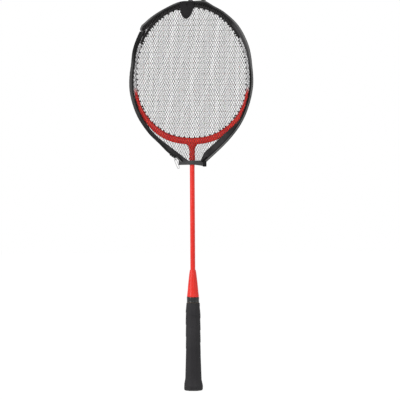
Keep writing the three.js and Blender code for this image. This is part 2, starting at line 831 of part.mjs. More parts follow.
const seamOffset = (station, out) =>
  [0, 1].map((k) => station.place[k] + station.normal[k] * out);

// Binding: a standing side from the seam, and a flat band over the edge of the net
function bindingSection(zipped) {
  const lap = teeth_parting / 2 + teeth_width + fit + tape_width * tape_lap_share;
  const foot = zipped ? lap : fit;
  const outer = zipped ? -(tape_thickness + teeth_thickness / 2 + fit) : 0;
  return [
    [outer, foot], [Math.min(outer, -binding_shoulder), face_out],
    [-binding_width, face_out], [-binding_width, face_out - binding_thickness],
    [Math.min(outer, -binding_shoulder) - binding_wall, face_out - binding_thickness],
    [outer - binding_wall, foot],
  ];
}

// The fifth corner sees the whole of this bent section, so its caps fan out from there
function binding(side) {
  const sections = seam.map((station) => bindingSection(station.zipped).map(([out, y]) => {
    const [x, z] = seamOffset(station, out);
    return new THREE.Vector3(x, side * y, z);
  }));
  return loft(sections, false, fan(sections[0].length, 4));
}

// Fold of the flap: a straight line on the face of the cover, from the zip's end
// to the far end of the hem
const fold_top = arcPoint(zip_high_angle - arcAngle(fold_past));
const fold_foot = [mouth_half_width - tab_lap - fit, mouth_height - hem_height];
const fold_run = [fold_foot[0] - fold_top[0], fold_foot[1] - fold_top[1]];
const fold_length = Math.hypot(...fold_run);
const fold_side = [fold_run[1] / fold_length, -fold_run[0] / fold_length];
const beyondFold = ([x, z]) =>
  (x - fold_top[0]) * fold_side[0] + (z - fold_top[1]) * fold_side[1];

// The part of a solid on one side of the fold, half a fit away from it
function keptSide(geometry, side) {
  const reach = 2 * fold_length;
  const half = side * (reach / 2 + fit / 2);
  const slab = new THREE.BoxGeometry(reach, reach, 2 * reach);
  slab.rotateY(-Math.atan2(fold_side[1], fold_side[0]));
  slab.translate(fold_top[0] + fold_side[0] * half, 0, fold_top[1] + fold_side[1] * half);
  return toGeometry(toSolid(geometry).intersect(toSolid(slab)));
}

// The part of a flat outline where a distance isn't below zero
function clip(polygon, distance) {
  const kept = [];
  polygon.forEach((here, i) => {
    const next = polygon[(i + 1) % polygon.length];
    const [p, q] = [distance(here), distance(next)];
    if (p >= 0) kept.push(here);
    if ((p >= 0) !== (q >= 0)) {
      const share = p / (p - q);
      kept.push([0, 1].map((k) => here[k] + (next[k] - here[k]) * share));
    }
  });
  return kept;
}

// The room inside the bindings, which the net and the two wedges share
function roomOutline(inset, floor) {
  const line = seam.map((station) => seamOffset(station, -inset));
  const last = line.length - 1;
  const beyond = (near, far) => [0, 1].map((k) => 2 * line[near][k] - line[far][k]);
  return clip([beyond(0, 1), ...line, beyond(last, last - 1)], ([, z]) => z - floor);
}

// Distances into a wedge from each straight of its inner edge, which runs to the mouth
function wedgeEdges(shares, side) {
  const corners = shares.map(seamPlace);
  return corners.slice(1).map(([bx, bz], i) => {
    const [ax, az] = corners[i];
    const [dx, dz] = [bx - ax, bz - az];
    return ([x, z]) => side * ((x - ax) * dz - (z - az) * dx) / Math.hypot(dx, dz);
  });
}

const wedges = {
  left: wedgeEdges(left_wedge_shares, 1),
  right: wedgeEdges(right_wedge_shares, -1),
};
const wedgeOutline = (edges, outline, grown) =>
  edges.reduce((rest, into) => clip(rest, (place) => into(place) + grown), outline);

// A slab as flat as the net, over the room and short of its edges by an inset. The
// flap has the room on one side of the fold, the fixed front has the other side.
function panelSlab(where, inset, thickness) {
  const sign = { flap: 1, front: -1, back: 0 }[where];
  const whole = roomOutline(binding_width + fit + inset, mouth_height + fit + inset);
  const outline = sign === 0 ? whole
    : clip(whole, (place) => sign * beyondFold(place) - fit / 2 - inset);
  const middle = (where === "back" ? 1 : -1) * (face_in + face_out) / 2;
  let slab = toSolid(flatPiece(outline, [], thickness, middle - thickness / 2));
  for (const edges of Object.values(wedges)) {
    const wide = roomOutline(binding_width - overrun, mouth_height - overrun);
    const cutter = wedgeOutline(edges, wide, fit + inset);
    slab = slab.subtract(toSolid(flatPiece(cutter, [], 4 * hoop_depth, -2 * hoop_depth)));
  }
  return slab;
}

// A net panel: a slab less the diamonds of one lattice, which end at its plain hem
function netPanel(where) {
  const half_width = net_cell_width / 2 * net_gap_share;
  const half_height = net_cell_height / 2 * net_gap_share;
  const rows = Math.ceil(hoop_length / net_cell_height) + 1;
  const columns = Math.ceil(left_half / net_cell_width) + 1;
  const diamonds = [];
  for (let row = -rows; row <= rows; row++) {
    for (let column = -columns; column <= columns; column++) {
      const x = net_cell_width * (column + (row % 2 ? 0.5 : 0));
      const z = hoop_middle + net_cell_height / 2 * row;
      const corners = [
        [x + half_width, z], [x, z + half_height], [x - half_width, z], [x, z - half_height],
      ];
      diamonds.push(toSolid(flatPiece(corners, [], 4 * hoop_depth, -2 * hoop_depth)));
    }
  }
  const gaps = diamonds.map((diamond) => diamond.intersect(panelSlab(where, net_hem, overrun)))
    .filter((gap) => gap.volume() > least_gap_share * half_width * half_height * 2 * overrun);
  return toGeometry(gaps.reduce((panel, gap) => panel.subtract(gap),
    panelSlab(where, 0, net_thickness)));
}

add("cover_net_flap", netPanel("flap"), net_thread);
add("cover_net_front", netPanel("front"), net_thread);
add("cover_net_back", netPanel("back"), net_thread);
const room = roomOutline(binding_width + fit, mouth_height + fit);
for (const [name, edges] of Object.entries(wedges)) {
  const outline = wedgeOutline(edges, room, 0);
  add(`cover_wedge_front_${name}`, flatPiece(outline, [], net_thickness, -face_out), black_binding);
  add(`cover_wedge_back_${name}`, flatPiece(outline, [], net_thickness, face_in), black_binding);
}
add("binding_flap", keptSide(binding(-1), 1), black_binding);
add("binding_front", keptSide(binding(-1), -1), black_binding);
add("binding_back", binding(1), black_binding);

// Hem at the mouth: two bands, close round the shaft and pinched together at their ends
function hem(side, end) {
  const start = -mouth_half_width;
  const near = shaft_radius + fit + hem_thickness / 2;
  const line = hem_shares.map((share) => {
    const x = start + (end - start) * share;
    const slack = THREE.MathUtils.smoothstep(
      Math.abs(x) / mouth_half_width, hem_round_share, 1);
    return [x, near + (hem_pinch - near) * slack];
  });
  const sections = line.map(([x, y]) => [[-1, 0], [1, 0], [1, 1], [-1, 1]].map(([a, b]) =>
    new THREE.Vector3(x, side * (y + a * hem_thickness / 2), mouth_height - hem_height * b)));
  return loft(sections, false, fan(4));
}
const hem_end = fold_foot[0] - fit;
add("hem_flap", hem(-1, hem_end), grey_webbing);
add("hem_back", hem(1, hem_end), grey_webbing);
add("mouth_tab", block(tab_width, tab_depth, tab_height,
  mouth_half_width - tab_lap + tab_width / 2, 0, mouth_height - tab_height / 2), black_binding);

// Zip: two tapes sewn to the bindings, each with a row of teeth along the seam
function zipBand(from_y, to_y, low, high, side) {
  const sections = [];
  for (let i = 0; i <= zip_steps; i++) {
    const angle = zip_low_angle + (zip_high_angle - zip_low_angle) * i / zip_steps;
    sections.push([[from_y, low], [to_y, low], [to_y, high], [from_y, high]].map(([y, out]) => {
      const [x, z] = arcPoint(angle, out);
      return new THREE.Vector3(x, side * y, z);
    }));
  }
  return loft(sections, false, fan(4));
}

const teeth_in = teeth_parting / 2;
const tape_in = teeth_in + teeth_width + fit;
const stop_angle = arcAngle(stop_length);
const gap_angle = arcAngle(fit);
for (const [name, side] of [["flap", -1], ["back", 1]]) {
  add(`zip_tape_${name}`, zipBand(tape_in, tape_in + tape_width,
    -tape_thickness - teeth_thickness / 2, -teeth_thickness / 2, side), black_binding);
  add(`zip_teeth_${name}`, zipBand(teeth_in, teeth_in + teeth_width,
    -teeth_thickness, 0, side), black_plastic);
  const [x, z] = arcPoint(zip_low_angle + gap_angle + stop_angle / 2, -teeth_thickness / 2);
  const stop = new THREE.BoxGeometry(teeth_thickness, teeth_width, stop_length);
  stop.rotateY(-zip_low_angle * degree);
  stop.translate(x, side * (teeth_in + teeth_width / 2), z);
  add(`zip_stop_${name}`, stop, zip_metal);
}
const [end_x, end_z] = arcPoint(zip_high_angle - gap_angle * 2 - stop_angle / 2,
  -teeth_thickness / 2);
const end_stop = new THREE.BoxGeometry(
  teeth_thickness, teeth_parting + 2 * teeth_width, stop_length);
end_stop.rotateY(-zip_high_angle * degree);
end_stop.translate(end_x, 0, end_z);
add("zip_end_stop", end_stop, zip_metal);

// Slider: two plates and the post between them, with an eye for the pull
const slider_half = slider_length / 2;
const eye_out = slider_play + slider_plate / 2 + eye_lift;
const pull_down = [Math.sin(puller_lean * degree), -Math.cos(puller_lean * degree)];

// From the slider's own axes, out of the seam and down along it, to the part's
function sliderSpot(out, along) {
  const turn = zip_rest_angle * degree;
  const [x, z] = arcPoint(zip_rest_angle, out);
  return [x + Math.sin(turn) * along, z - Math.cos(turn) * along];
}

const [eye_x, eye_z] = sliderSpot(eye_out, slider_half + eye_reach);

function zipSlider() {
  const plate = (out) => {
    const box = new THREE.BoxGeometry(slider_plate, slider_width, slider_length);
    const [x, z] = sliderSpot(out, 0);
    return toSolid(box.rotateY(-zip_rest_angle * degree).translate(x, 0, z));
  };
  const inner = -(teeth_thickness + slider_play + slider_plate / 2);
  const outer = slider_play + slider_plate / 2;
  const post = new THREE.BoxGeometry(outer - inner, post_thickness, post_length);
  post.rotateY(-zip_rest_angle * degree);
  const [post_x, post_z] = sliderSpot((outer + inner) / 2, -slider_half + post_length);
  post.translate(post_x, 0, post_z);
  const eye = new THREE.TorusGeometry(
    eye_diameter / 2, eye_wire / 2, wire_sides, 2 * wire_sides);
  eye.rotateY(Math.atan2(-pull_down[1], pull_down[0]));
  eye.translate(eye_x, 0, eye_z);
  return toGeometry(plate(outer).add(plate(inner)).add(toSolid(post)).add(toSolid(eye)));
}
add("zip_slider", zipSlider(), zip_metal);

// Pull: a long wire loop hanging from the slider's eye
function zipPuller() {
  const radius = puller_width / 2;
  const straight = puller_length - 2 * radius;
  const across = [-pull_down[1], pull_down[0]];
  const sections = [];
  for (let i = 0; i < 2 * (wire_turns + 1); i++) {
    const lower = i > wire_turns;
    const turn = Math.PI * (lower ? (i - 1) / wire_turns : i / wire_turns);
    const drop = radius + (lower ? straight : 0);
    sections.push(Array.from({ length: wire_sides }, (_, k) => {
      const roll = 2 * Math.PI * k / wire_sides;
      const reach = radius + puller_wire / 2 * Math.cos(roll);
      const u = reach * Math.cos(turn);
      const v = drop - reach * Math.sin(turn);
      return new THREE.Vector3(eye_x + across[0] * u + pull_down[0] * v,
        puller_wire / 2 * Math.sin(roll), eye_z + across[1] * u + pull_down[1] * v);
    }));
  }
  return loft(sections, true);
}
add("zip_puller", zipPuller(), zip_metal);

// Tongue on the face of the cover at the crown, with a slit near its upper end
function tongue() {
  const top = hoop_middle + crown_rise - binding_shoulder;
  const tip = top - tongue_length;
  const half = tongue_width / 2;
  const bulge = [];
  for (let i = 0; i <= curve_steps; i++) {
    const turn = Math.PI * (1 + i / curve_steps);
    bulge.push([tongue_middle + tongue_tip_radius * Math.cos(turn),
      tip + tongue_tip_radius + tongue_tip_radius * Math.sin(turn)]);
  }
  const waist = half * tongue_waist_share;
  const waist_z = top - tongue_length * tongue_waist_drop_share;
  const outline = [[tongue_middle + half, top], [tongue_middle - half, top],
    [tongue_middle - waist, waist_z], ...bulge, [tongue_middle + waist, waist_z]];
  const [x, z] = [tongue_middle, top - slit_drop];
  const slit = [[x - slit_width / 2, z - slit_length], [x + slit_width / 2, z - slit_length],
    [x + slit_width / 2, z], [x - slit_width / 2, z]];
  return flatPiece(outline, [slit], tongue_thickness, -face_out - fit - tongue_thickness);
}
add("crown_tongue", tongue(), black_binding);

// Hanging loop: flat webbing standing on the crown of the seam
function hangingLoop() {
  const foot = hoop_middle + crown_rise + fit;
  const middle = foot + loop_height - loop_span / 2 - loop_webbing_width / 2;
  const arc = (radius, from, to) => Array.from({ length: wire_turns + 1 }, (_, i) => {
    const turn = from + (to - from) * i / wire_turns;
    return [loop_middle + radius * Math.cos(turn), middle + radius * Math.sin(turn)];
  });
  const outer = loop_span / 2 + loop_webbing_width / 2;
  const inner = loop_span / 2 - loop_webbing_width / 2;
  const outline = [[loop_middle + outer, foot], ...arc(outer, 0, Math.PI),
    [loop_middle - outer, foot], [loop_middle - inner, foot], ...arc(inner, Math.PI, 0),
    [loop_middle + inner, foot]];
  return flatPiece(outline, [], loop_webbing_thickness, -loop_webbing_thickness / 2);
}
add("hanging_loop", hangingLoop(), grey_webbing);

export default part;
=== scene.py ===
# %% [markdown]
# # A badminton racket in its zipped net cover
#
# The racket stands on its butt, with a net cover zipped over the strung head. The CAD
# frame already has every piece at its true size. This lesson gives each piece its fine
# shape and the finish of the real one, and ties it to the body it moves with.

# %% Load the frame
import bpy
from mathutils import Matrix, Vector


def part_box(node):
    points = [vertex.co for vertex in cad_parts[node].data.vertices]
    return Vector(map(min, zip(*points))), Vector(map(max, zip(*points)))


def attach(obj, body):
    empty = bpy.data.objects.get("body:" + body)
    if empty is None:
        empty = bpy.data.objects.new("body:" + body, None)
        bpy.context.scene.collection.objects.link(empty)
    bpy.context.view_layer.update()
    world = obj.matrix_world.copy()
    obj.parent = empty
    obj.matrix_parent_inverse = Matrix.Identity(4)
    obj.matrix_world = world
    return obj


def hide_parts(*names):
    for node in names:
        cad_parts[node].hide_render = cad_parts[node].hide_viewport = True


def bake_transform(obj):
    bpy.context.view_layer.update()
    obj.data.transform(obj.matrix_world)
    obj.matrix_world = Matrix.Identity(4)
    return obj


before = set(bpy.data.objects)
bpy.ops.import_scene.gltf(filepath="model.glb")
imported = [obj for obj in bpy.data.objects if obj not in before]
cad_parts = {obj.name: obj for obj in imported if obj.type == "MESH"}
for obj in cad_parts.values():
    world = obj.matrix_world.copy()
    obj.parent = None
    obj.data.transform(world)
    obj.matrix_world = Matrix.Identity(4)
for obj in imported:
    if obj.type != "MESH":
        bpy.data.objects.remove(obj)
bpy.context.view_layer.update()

# %% Tools for the lesson
import math

import bmesh
import bpy
import numpy as np
from mathutils import Vector

# %% [markdown]
# ## Camera
#
# The photograph looks straight at the face of the racket, level with it, through a long
# lens, so lines hardly converge. The camera therefore stands far off with a narrow view,
# and leans by a third of a degree, as the racket does in the picture.

# %% Place the camera
CAMERA_DISTANCE = 3.5
VIEW_WIDTH = 0.6894
LEAN = 0.334
AIM = Vector((0.0131, 0, 0.328))
SENSOR = 36
camera_data = bpy.data.cameras.new("photo_camera")
camera_data.sensor_width = SENSOR
camera_data.lens = SENSOR * CAMERA_DISTANCE / VIEW_WIDTH
camera_data.clip_end = 50
camera = bpy.data.objects.new("photo_camera", camera_data)
camera.location = AIM - Vector((0, CAMERA_DISTANCE, 0))
camera.rotation_euler = (math.radians(90), math.radians(LEAN), 0)
bpy.context.scene.collection.objects.link(camera)
bpy.context.scene.camera = camera
print("lens", round(camera_data.lens, 1), "mm")

# %% [markdown]
# ## Light, floor and white surround
#
# Soft studio light is a large lamp on each side and an even grey surround. The lamp on
# the left is the stronger one, since the left bevels of the handle are the light ones.
# The surround looks white to the camera and in reflections without adding light.

# %% Light the studio
scene = bpy.context.scene
scene.view_settings.view_transform = "Standard"


def soft_lamp(name, place, width, height, power):
    data = bpy.data.lights.new(name, "AREA")
    data.shape, data.size, data.size_y, data.energy = "RECTANGLE", width, height, power
    lamp = bpy.data.objects.new(name, data)
    lamp.location = place
    lamp.rotation_euler = (AIM - Vector(place)).to_track_quat("-Z", "Y").to_euler()
    scene.collection.objects.link(lamp)


soft_lamp("left_softbox", (-2.2, -1.7, 1.3), 1.5, 2.2, 50)
soft_lamp("front_softbox", (0.6, -3.2, 1.5), 1.8, 1.4, 17)
soft_lamp("right_softbox", (2.3, -1.1, 0.9), 0.8, 1.8, 7)
print("lamps:", [lamp.name for lamp in bpy.data.lights])


# %% Turn the surround white
def seen_directly(tree):
    """1 where a ray comes from the camera, a mirror or through glass."""
    path = tree.nodes.new("ShaderNodeLightPath")
    total = path.outputs["Is Camera Ray"]
    for kind in ("Is Glossy Ray", "Is Transmission Ray"):
        plus = tree.nodes.new("ShaderNodeMath")
        plus.operation, plus.use_clamp = "ADD", True
        tree.links.new(total, plus.inputs[0])
        tree.links.new(path.outputs[kind], plus.inputs[1])
        total = plus.outputs[0]
    return total


def show_white(tree, share, shaded, white, output):
    """White takes the place of what is shaded, by a share."""
    either = tree.nodes.new("ShaderNodeMixShader")
    for source, socket in zip((share, shaded, white), either.inputs):
        tree.links.new(source, socket)
    tree.links.new(either.outputs[0], tree.nodes[output].inputs["Surface"])


WORLD_LIGHT = 0.5
world = bpy.data.worlds.new("surround")
world.use_nodes = True
scene.world = world
sky = world.node_tree.nodes["Background"]
sky.inputs["Color"].default_value = (1, 1, 1, 1)
sky.inputs["Strength"].default_value = WORLD_LIGHT
white = world.node_tree.nodes.new("ShaderNodeBackground")
white.inputs["Color"].default_value = (1, 1, 1, 1)
show_white(world.node_tree, seen_directly(world.node_tree), sky.outputs[0], white.outputs[0],
           "World Output")
print("surround lights at", WORLD_LIGHT)

# %% Lay the floor
FLOOR_REACH, FLOOR_GREY, FLOOR_GLOW, GLOW_SHARE = 9, 0.82, 1.14, 0.8
floor_mesh = bpy.data.meshes.new("floor")
floor_corners = [(x * FLOOR_REACH, y * FLOOR_REACH, 0) for x, y in ((-1, -1), (1, -1), (1, 1), (-1, 1))]
floor_mesh.from_pydata(floor_corners, [], [(0, 1, 2, 3)])
floor = bpy.data.objects.new("floor", floor_mesh)
scene.collection.objects.link(floor)
pale = bpy.data.materials.new("pale_floor")
pale.use_nodes = True
matt = pale.node_tree.nodes["Principled BSDF"]
matt.inputs["Base Color"].default_value = (FLOOR_GREY, FLOOR_GREY, FLOOR_GREY, 1)
matt.inputs["Roughness"].default_value = 0.9
glow = pale.node_tree.nodes.new("ShaderNodeEmission")
glow.inputs["Strength"].default_value = FLOOR_GLOW
share = pale.node_tree.nodes.new("ShaderNodeMath")
share.operation = "MULTIPLY"
share.inputs[1].default_value = GLOW_SHARE
pale.node_tree.links.new(seen_directly(pale.node_tree), share.inputs[0])
show_white(pale.node_tree, share.outputs[0], matt.outputs[0], glow.outputs[0], "Material Output")
floor_mesh.materials.append(pale)
print("floor", 2 * FLOOR_REACH, "m across")

# %% [markdown]
# ## Making meshes
#
# All sizes below are in millimetres, with +Z from the butt to the head and the face of
# the head towards -Y. Most pieces are skins: rows of points, each row joined to the
# next. A point also says where it lies on the piece (along, across and out), after its
# place, so that a weave or a grain can follow the piece and not the world.

# %% Skins and pieces
MM = 0.001


class Skin:
    """Points and faces of one piece. A point is a place, and then its lay on the piece."""

    def __init__(self):
        self.points, self.faces = [], []

    def row(self, points):
        start = len(self.points)
        self.points += [tuple(point) for point in points]
        return range(start, len(self.points))

    def loft(self, rows, loop=False, caps=True):
        made = [self.row(row) for row in rows]
        for a, b in zip(made, made[1:] + made[:1] if loop else made[1:]):
            for k in range(len(a)):
                n = (k + 1) % len(a)
                self.faces.append((a[k], a[n], b[n], b[k]))
        if caps and not loop:
            self.faces += [tuple(reversed(made[0])), tuple(made[-1])]

    def piece(self, name, finish, smooth=40):
        mesh = bpy.data.meshes.new(name)
        mesh.from_pydata([(x * MM, y * MM, z * MM) for x, y, z, *_ in self.points], [], self.faces)
        lay = mesh.attributes.new("lay", "FLOAT_VECTOR", "POINT")
        lays = [point[3:] or (0, 0, 0) for point in self.points]
        lay.data.foreach_set("vector", np.array(lays, np.float32).ravel())
        tidy = bmesh.new()
        tidy.from_mesh(mesh)
        bmesh.ops.recalc_face_normals(tidy, faces=tidy.faces)
        tidy.to_mesh(mesh)
        tidy.free()
        mesh.materials.append(finish)
        mesh.shade_smooth()
        mesh.set_sharp_from_angle(angle=math.radians(smooth))
        piece = bpy.data.objects.new(name, mesh)
        scene.collection.objects.link(piece)
        return piece


def lofted(name, finish, rows, smooth=40, loop=False):
    """A piece that is one skin over its rows."""
    skin = Skin()
    skin.loft(rows, loop)
    return skin.piece(name, finish, smooth)


def take_slot(piece, nodes):
    """The piece stands for these CAD nodes, which are hidden."""
    if nodes:
        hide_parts(*nodes)
    print(piece.name, "has", len(piece.data.polygons), "faces and stands for", *nodes or ["trim"])
    return piece


def settle(piece, body, slot, *nodes):
    """The piece moves with a body."""
    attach(piece, body)
    return take_slot(piece, nodes)


# %% Curves, rings and tubes
def turns(count):
    return [2 * math.pi * k / count for k in range(count)]


def unit(vectors):
    return vectors / np.linalg.norm(vectors, axis=-1, keepdims=True)


def run_along(route):
    """Distance from a route's start, at each of its points."""
    return np.concatenate([[0], np.cumsum(np.linalg.norm(np.diff(route, axis=0), axis=1))])


def at_run(run, runs, places):
    """The place at a distance along a route."""
    return np.array([np.interp(run, runs, column) for column in places.T])


def smoothstep(value, low, high):
    t = min(max((value - low) / (high - low), 0), 1)
    return t * t * (3 - 2 * t)


def soft_ring(turn, power):
    """A place on a unit ring, which a power above 2 makes squarer."""
    c, s = math.cos(turn), math.sin(turn)
    return math.copysign(abs(c) ** (2 / power), c), math.copysign(abs(s) ** (2 / power), s)


def frames_along(route, closed=False):
    """Two directions square to the route at each of its points, turning as little as can be."""
    if closed:
        going = unit(np.roll(route, -1, 0) - np.roll(route, 1, 0))
    else:
        going = unit(np.gradient(route, axis=0))
    side = np.cross(going[0], [0, 1, 0])
    if np.linalg.norm(side) < 0.1:
        side = np.cross(going[0], [1, 0, 0])
    sides = []
    for direction in going:
        side = unit(side - direction * np.dot(side, direction))
        sides.append(side)
    return np.array(sides), np.cross(going, sides)


def tube(skin, route, radius, sides, closed=False):
    route = np.asarray(route, float)
    rows = []
    for middle, run, u, v in zip(route, run_along(route), *frames_along(route, closed)):
        rows.append([(*(middle + radius * (math.cos(t) * u + math.sin(t) * v)), run, t * radius, 0)
                     for t in turns(sides)])
    skin.loft(rows, loop=closed)


# %% [markdown]
# ## Finishes
#
# A finish is a small recipe of nodes around one shader. The helper below adds a node,
# sets its numbers and links its inputs in one call, so a recipe reads like a list. The
# real pieces show gloss paint, moulded plastic, nylon, soft leatherette, cloth tape,
# webbing and plated wire, and each gets its own colour drift, relief and gloss.

# %% A recipe helper
class Recipe:
    def __init__(self, name, **numbers):
        self.material = bpy.data.materials.new(name)
        self.material.use_nodes = True
        self.tree = self.material.node_tree
        self.shader = self.tree.nodes["Principled BSDF"]
        self.feed(self.shader, numbers)

    def feed(self, node, inputs):
        for key, value in inputs.items():
            socket = node.inputs[key.replace("_", " ") if isinstance(key, str) else key]
            if isinstance(value, bpy.types.NodeSocket):
                self.tree.links.new(value, socket)
            elif isinstance(value, tuple) and len(value) == 3 and socket.type == "RGBA":
                socket.default_value = (*value, 1)
            else:
                socket.default_value = value

    def add(self, kind, out=0, inputs=None, **settings):
        node = self.tree.nodes.new("ShaderNode" + kind)
        for key, value in settings.items():
            setattr(node, key, value)
        self.feed(node, inputs or {})
        return node.outputs[out]

    def place(self):
        """Where a point lies in the object, in metres."""
        return self.add("TexCoord", "Object")

    def lay(self):
        """Where a point lies on its piece: along, across and out, in millimetres."""
        return self.add("Attribute", "Vector", attribute_name="lay")

    def parts(self, vector):
        node = self.tree.nodes.new("ShaderNodeSeparateXYZ")
        self.tree.links.new(vector, node.inputs[0])
        return node.outputs

    def math(self, operation, a, b=0.0, c=0.0):
        return self.add("Math", 0, {0: a, 1: b, 2: c}, operation=operation)

    def times(self, a, b):
        return self.math("MULTIPLY", a, b)

    def minus(self, a, b):
        return self.math("SUBTRACT", a, b)

    def noise(self, scale, detail=3.0):
        return self.add("TexNoise", "Fac", {"Vector": self.place(), "Scale": scale, "Detail": detail})

    def span(self, value, low, high, to_low=0.0, to_high=1.0, smooth=True):
        return self.add("MapRange", "Result", {"Value": value, "From Min": low, "From Max": high,
                                               "To Min": to_low, "To Max": to_high},
                        interpolation_type="SMOOTHSTEP" if smooth else "LINEAR")

    def zone(self, value, rise, fall):
        """1 between two places, with a soft edge at each."""
        return self.times(self.span(value, *rise), self.span(value, *fall, 1.0, 0.0))

    def drift(self, scale, low, high):
        """Soft blotches, from 0 to 1."""
        return self.span(self.noise(scale), low, high)

    def ripple(self, value, period):
        """A wave of one part of a place, from 0 to 1 and back in each period."""
        wave = self.math("SINE", self.times(value, 2 * math.pi / period))
        return self.math("MULTIPLY_ADD", wave, 0.5, 0.5)

    def blend(self, share, a, b):
        return self.add("Mix", 2, {0: share, 6: a, 7: b}, data_type="RGBA")

    def relief(self, height, depth, strength=1.0, under=None):
        inputs = {"Height": height, "Strength": strength, "Distance": depth}
        if under is not None:
            inputs["Normal"] = under
        return self.add("Bump", "Normal", inputs)

    def finish(self, **inputs):
        self.feed(self.shader, inputs)
        return self.material


# %% [markdown]
# ### Paint
#
# The shaft, cone and hoop are stove-painted metal: a hard, smooth coat with a faint
# orange-peel ripple. On the hoop the paint changes with height, black at the crown,
# silver on the flanks and red at the throat, so its colour is worked out from the place
# of a point. Where black meets silver the edge runs at a slant: the silver starts as a
# thin line on the outside and widens as it comes down.

# %% Red paint
BLACK_PAINT, SILVER_PAINT = (0.003, 0.003, 0.003), (0.80, 0.80, 0.81)
RED_PAINT, DEEP_RED = (0.88, 0.030, 0.014), (0.76, 0.014, 0.012)
SHAFT_RED, BRIGHT_RED = (0.72, 0.020, 0.012), (0.77, 0.026, 0.015)


def paint_gloss(recipe):
    """The faint ripple of sprayed paint."""
    return recipe.relief(recipe.noise(900.0, detail=1.0), 0.00003, 0.5)


red = Recipe("red_gloss", Roughness=0.34, Specular_IOR_Level=0.22, Coat_Weight=0.1,
             Coat_Roughness=0.12)
red_gloss = red.finish(Base_Color=red.blend(red.drift(28.0, 0.3, 0.7), SHAFT_RED, BRIGHT_RED),
                       Normal=paint_gloss(red))
print(red_gloss.name, "for the shaft, the cone and the joint")

# %% Paint of the hoop
RACKET_LENGTH, HOOP_LENGTH, HOOP_WIDTH = 666, 242, 202
HOOP_MIDDLE = RACKET_LENGTH - HOOP_LENGTH / 2
LEFT_SILVER_TOP, LEFT_LINE_TOP = (0.595, 0.599), (0.615, 0.655)
RIGHT_SILVER_TOP, RED_TOP, EDGE_SLANT = (0.604, 0.610), (0.5135, 0.5275), 18.0
coat = Recipe("hoop_gloss", Roughness=0.34, Specular_IOR_Level=0.2, Coat_Weight=0.1,
              Coat_Roughness=0.14)
hx, _, hz = coat.parts(coat.place())
squares = [coat.math("POWER", coat.math("DIVIDE", part, size / 2 * MM), 2.0)
           for part, size in ((hx, HOOP_WIDTH), (coat.minus(hz, HOOP_MIDDLE * MM), HOOP_LENGTH))]
oval = coat.math("SQRT", coat.math("ADD", *squares))
outward = coat.math("MULTIPLY_ADD", coat.minus(oval, 1.0), EDGE_SLANT, 1.0)
right_side = coat.span(hx, -0.01, 0.01)
left_reach = coat.math("ADD", coat.span(hz, *LEFT_SILVER_TOP, -0.12, 0.66),
                       coat.span(hz, *LEFT_LINE_TOP, 0.0, 0.4, smooth=False))
right_reach = coat.span(hz, *RIGHT_SILVER_TOP, -0.12, 1.2, smooth=False)
reach = coat.math("MULTIPLY_ADD", right_side, right_reach,
                  coat.times(coat.minus(1.0, right_side), left_reach))
black_share = coat.span(coat.minus(reach, outward), -0.05, 0.05)
black_top = coat.blend(black_share, SILVER_PAINT, BLACK_PAINT)
speck = coat.math("MULTIPLY_ADD", coat.noise(420.0), 0.006, hz)
hoop_red = coat.blend(coat.drift(60.0, 0.35, 0.65), RED_PAINT, DEEP_RED)
hoop_gloss = coat.finish(
    Base_Color=coat.blend(coat.span(speck, *RED_TOP, 1.0, 0.0), black_top, hoop_red),
    Normal=paint_gloss(coat))
print(hoop_gloss.name, "is red up to", RED_TOP, "m")

# %% [markdown]
# ### Plastic, nylon, wood and metal
#
# The barrels, the zip's teeth and the butt are moulded plastic and the slider is
# enamelled. All are nearly black with a fine grain, so one function mixes them from two
# tones and a gloss. The strings are milky nylon with strands that wind round them, which
# a slanting wave draws without any mesh. The core's wood has bent bands of grain, and
# the wire of the zip is bright plating with duller patches where it has rubbed.

# %% Hard finishes
def moulded(name, colour, lighter, roughness):
    recipe = Recipe(name, Roughness=roughness, Specular_IOR_Level=0.25)
    grain = recipe.relief(recipe.noise(2600.0, detail=2.0), 0.00005, 0.5)
    return recipe.finish(Base_Color=recipe.blend(recipe.drift(70.0, 0.35, 0.65), colour, lighter),
                         Normal=grain)


grommet_black = moulded("grommet_black", (0.010, 0.010, 0.011), (0.016, 0.016, 0.017), 0.42)
slider_black = moulded("slider_black", (0.014, 0.014, 0.015), (0.026, 0.026, 0.027), 0.35)
butt_black = moulded("butt_black", (0.015, 0.014, 0.016), (0.024, 0.023, 0.025), 0.55)
teeth_black = moulded("teeth_black", (0.014, 0.014, 0.015), (0.030, 0.030, 0.031), 0.38)

nylon = Recipe("string_nylon", Roughness=0.38, Subsurface_Weight=0.15, Subsurface_Scale=0.0004)
along, across, _ = nylon.parts(nylon.lay())
strands = nylon.math("ADD", nylon.times(along, 0.9), nylon.times(across, 6.0))
string_nylon = nylon.finish(
    Base_Color=nylon.blend(nylon.drift(160.0, 0.3, 0.7), (0.92, 0.915, 0.90), (0.85, 0.845, 0.83)),
    Normal=nylon.relief(nylon.math("SINE", strands), 0.00004, 0.6))

wood = Recipe("handle_wood", Roughness=0.62)
grain_lines = wood.add("TexWave", "Fac", {"Vector": wood.place(), "Scale": 160.0, "Distortion": 3.0,
                                          "Detail": 3.0, "Detail Scale": 0.3},
                       bands_direction="X")
handle_wood = wood.finish(
    Base_Color=wood.blend(grain_lines, (0.50, 0.31, 0.15), (0.64, 0.44, 0.24)),
    Normal=wood.relief(grain_lines, 0.00008, 0.5))

plated = Recipe("plated_wire", Roughness=0.25, Metallic=1.0)
zip_plate = plated.finish(
    Base_Color=plated.blend(plated.drift(900.0, 0.4, 0.7), (0.40, 0.40, 0.40), (0.28, 0.28, 0.28)),
    Normal=plated.relief(plated.noise(2200.0), 0.00002, 0.4))
print(len(bpy.data.materials), "finishes so far")
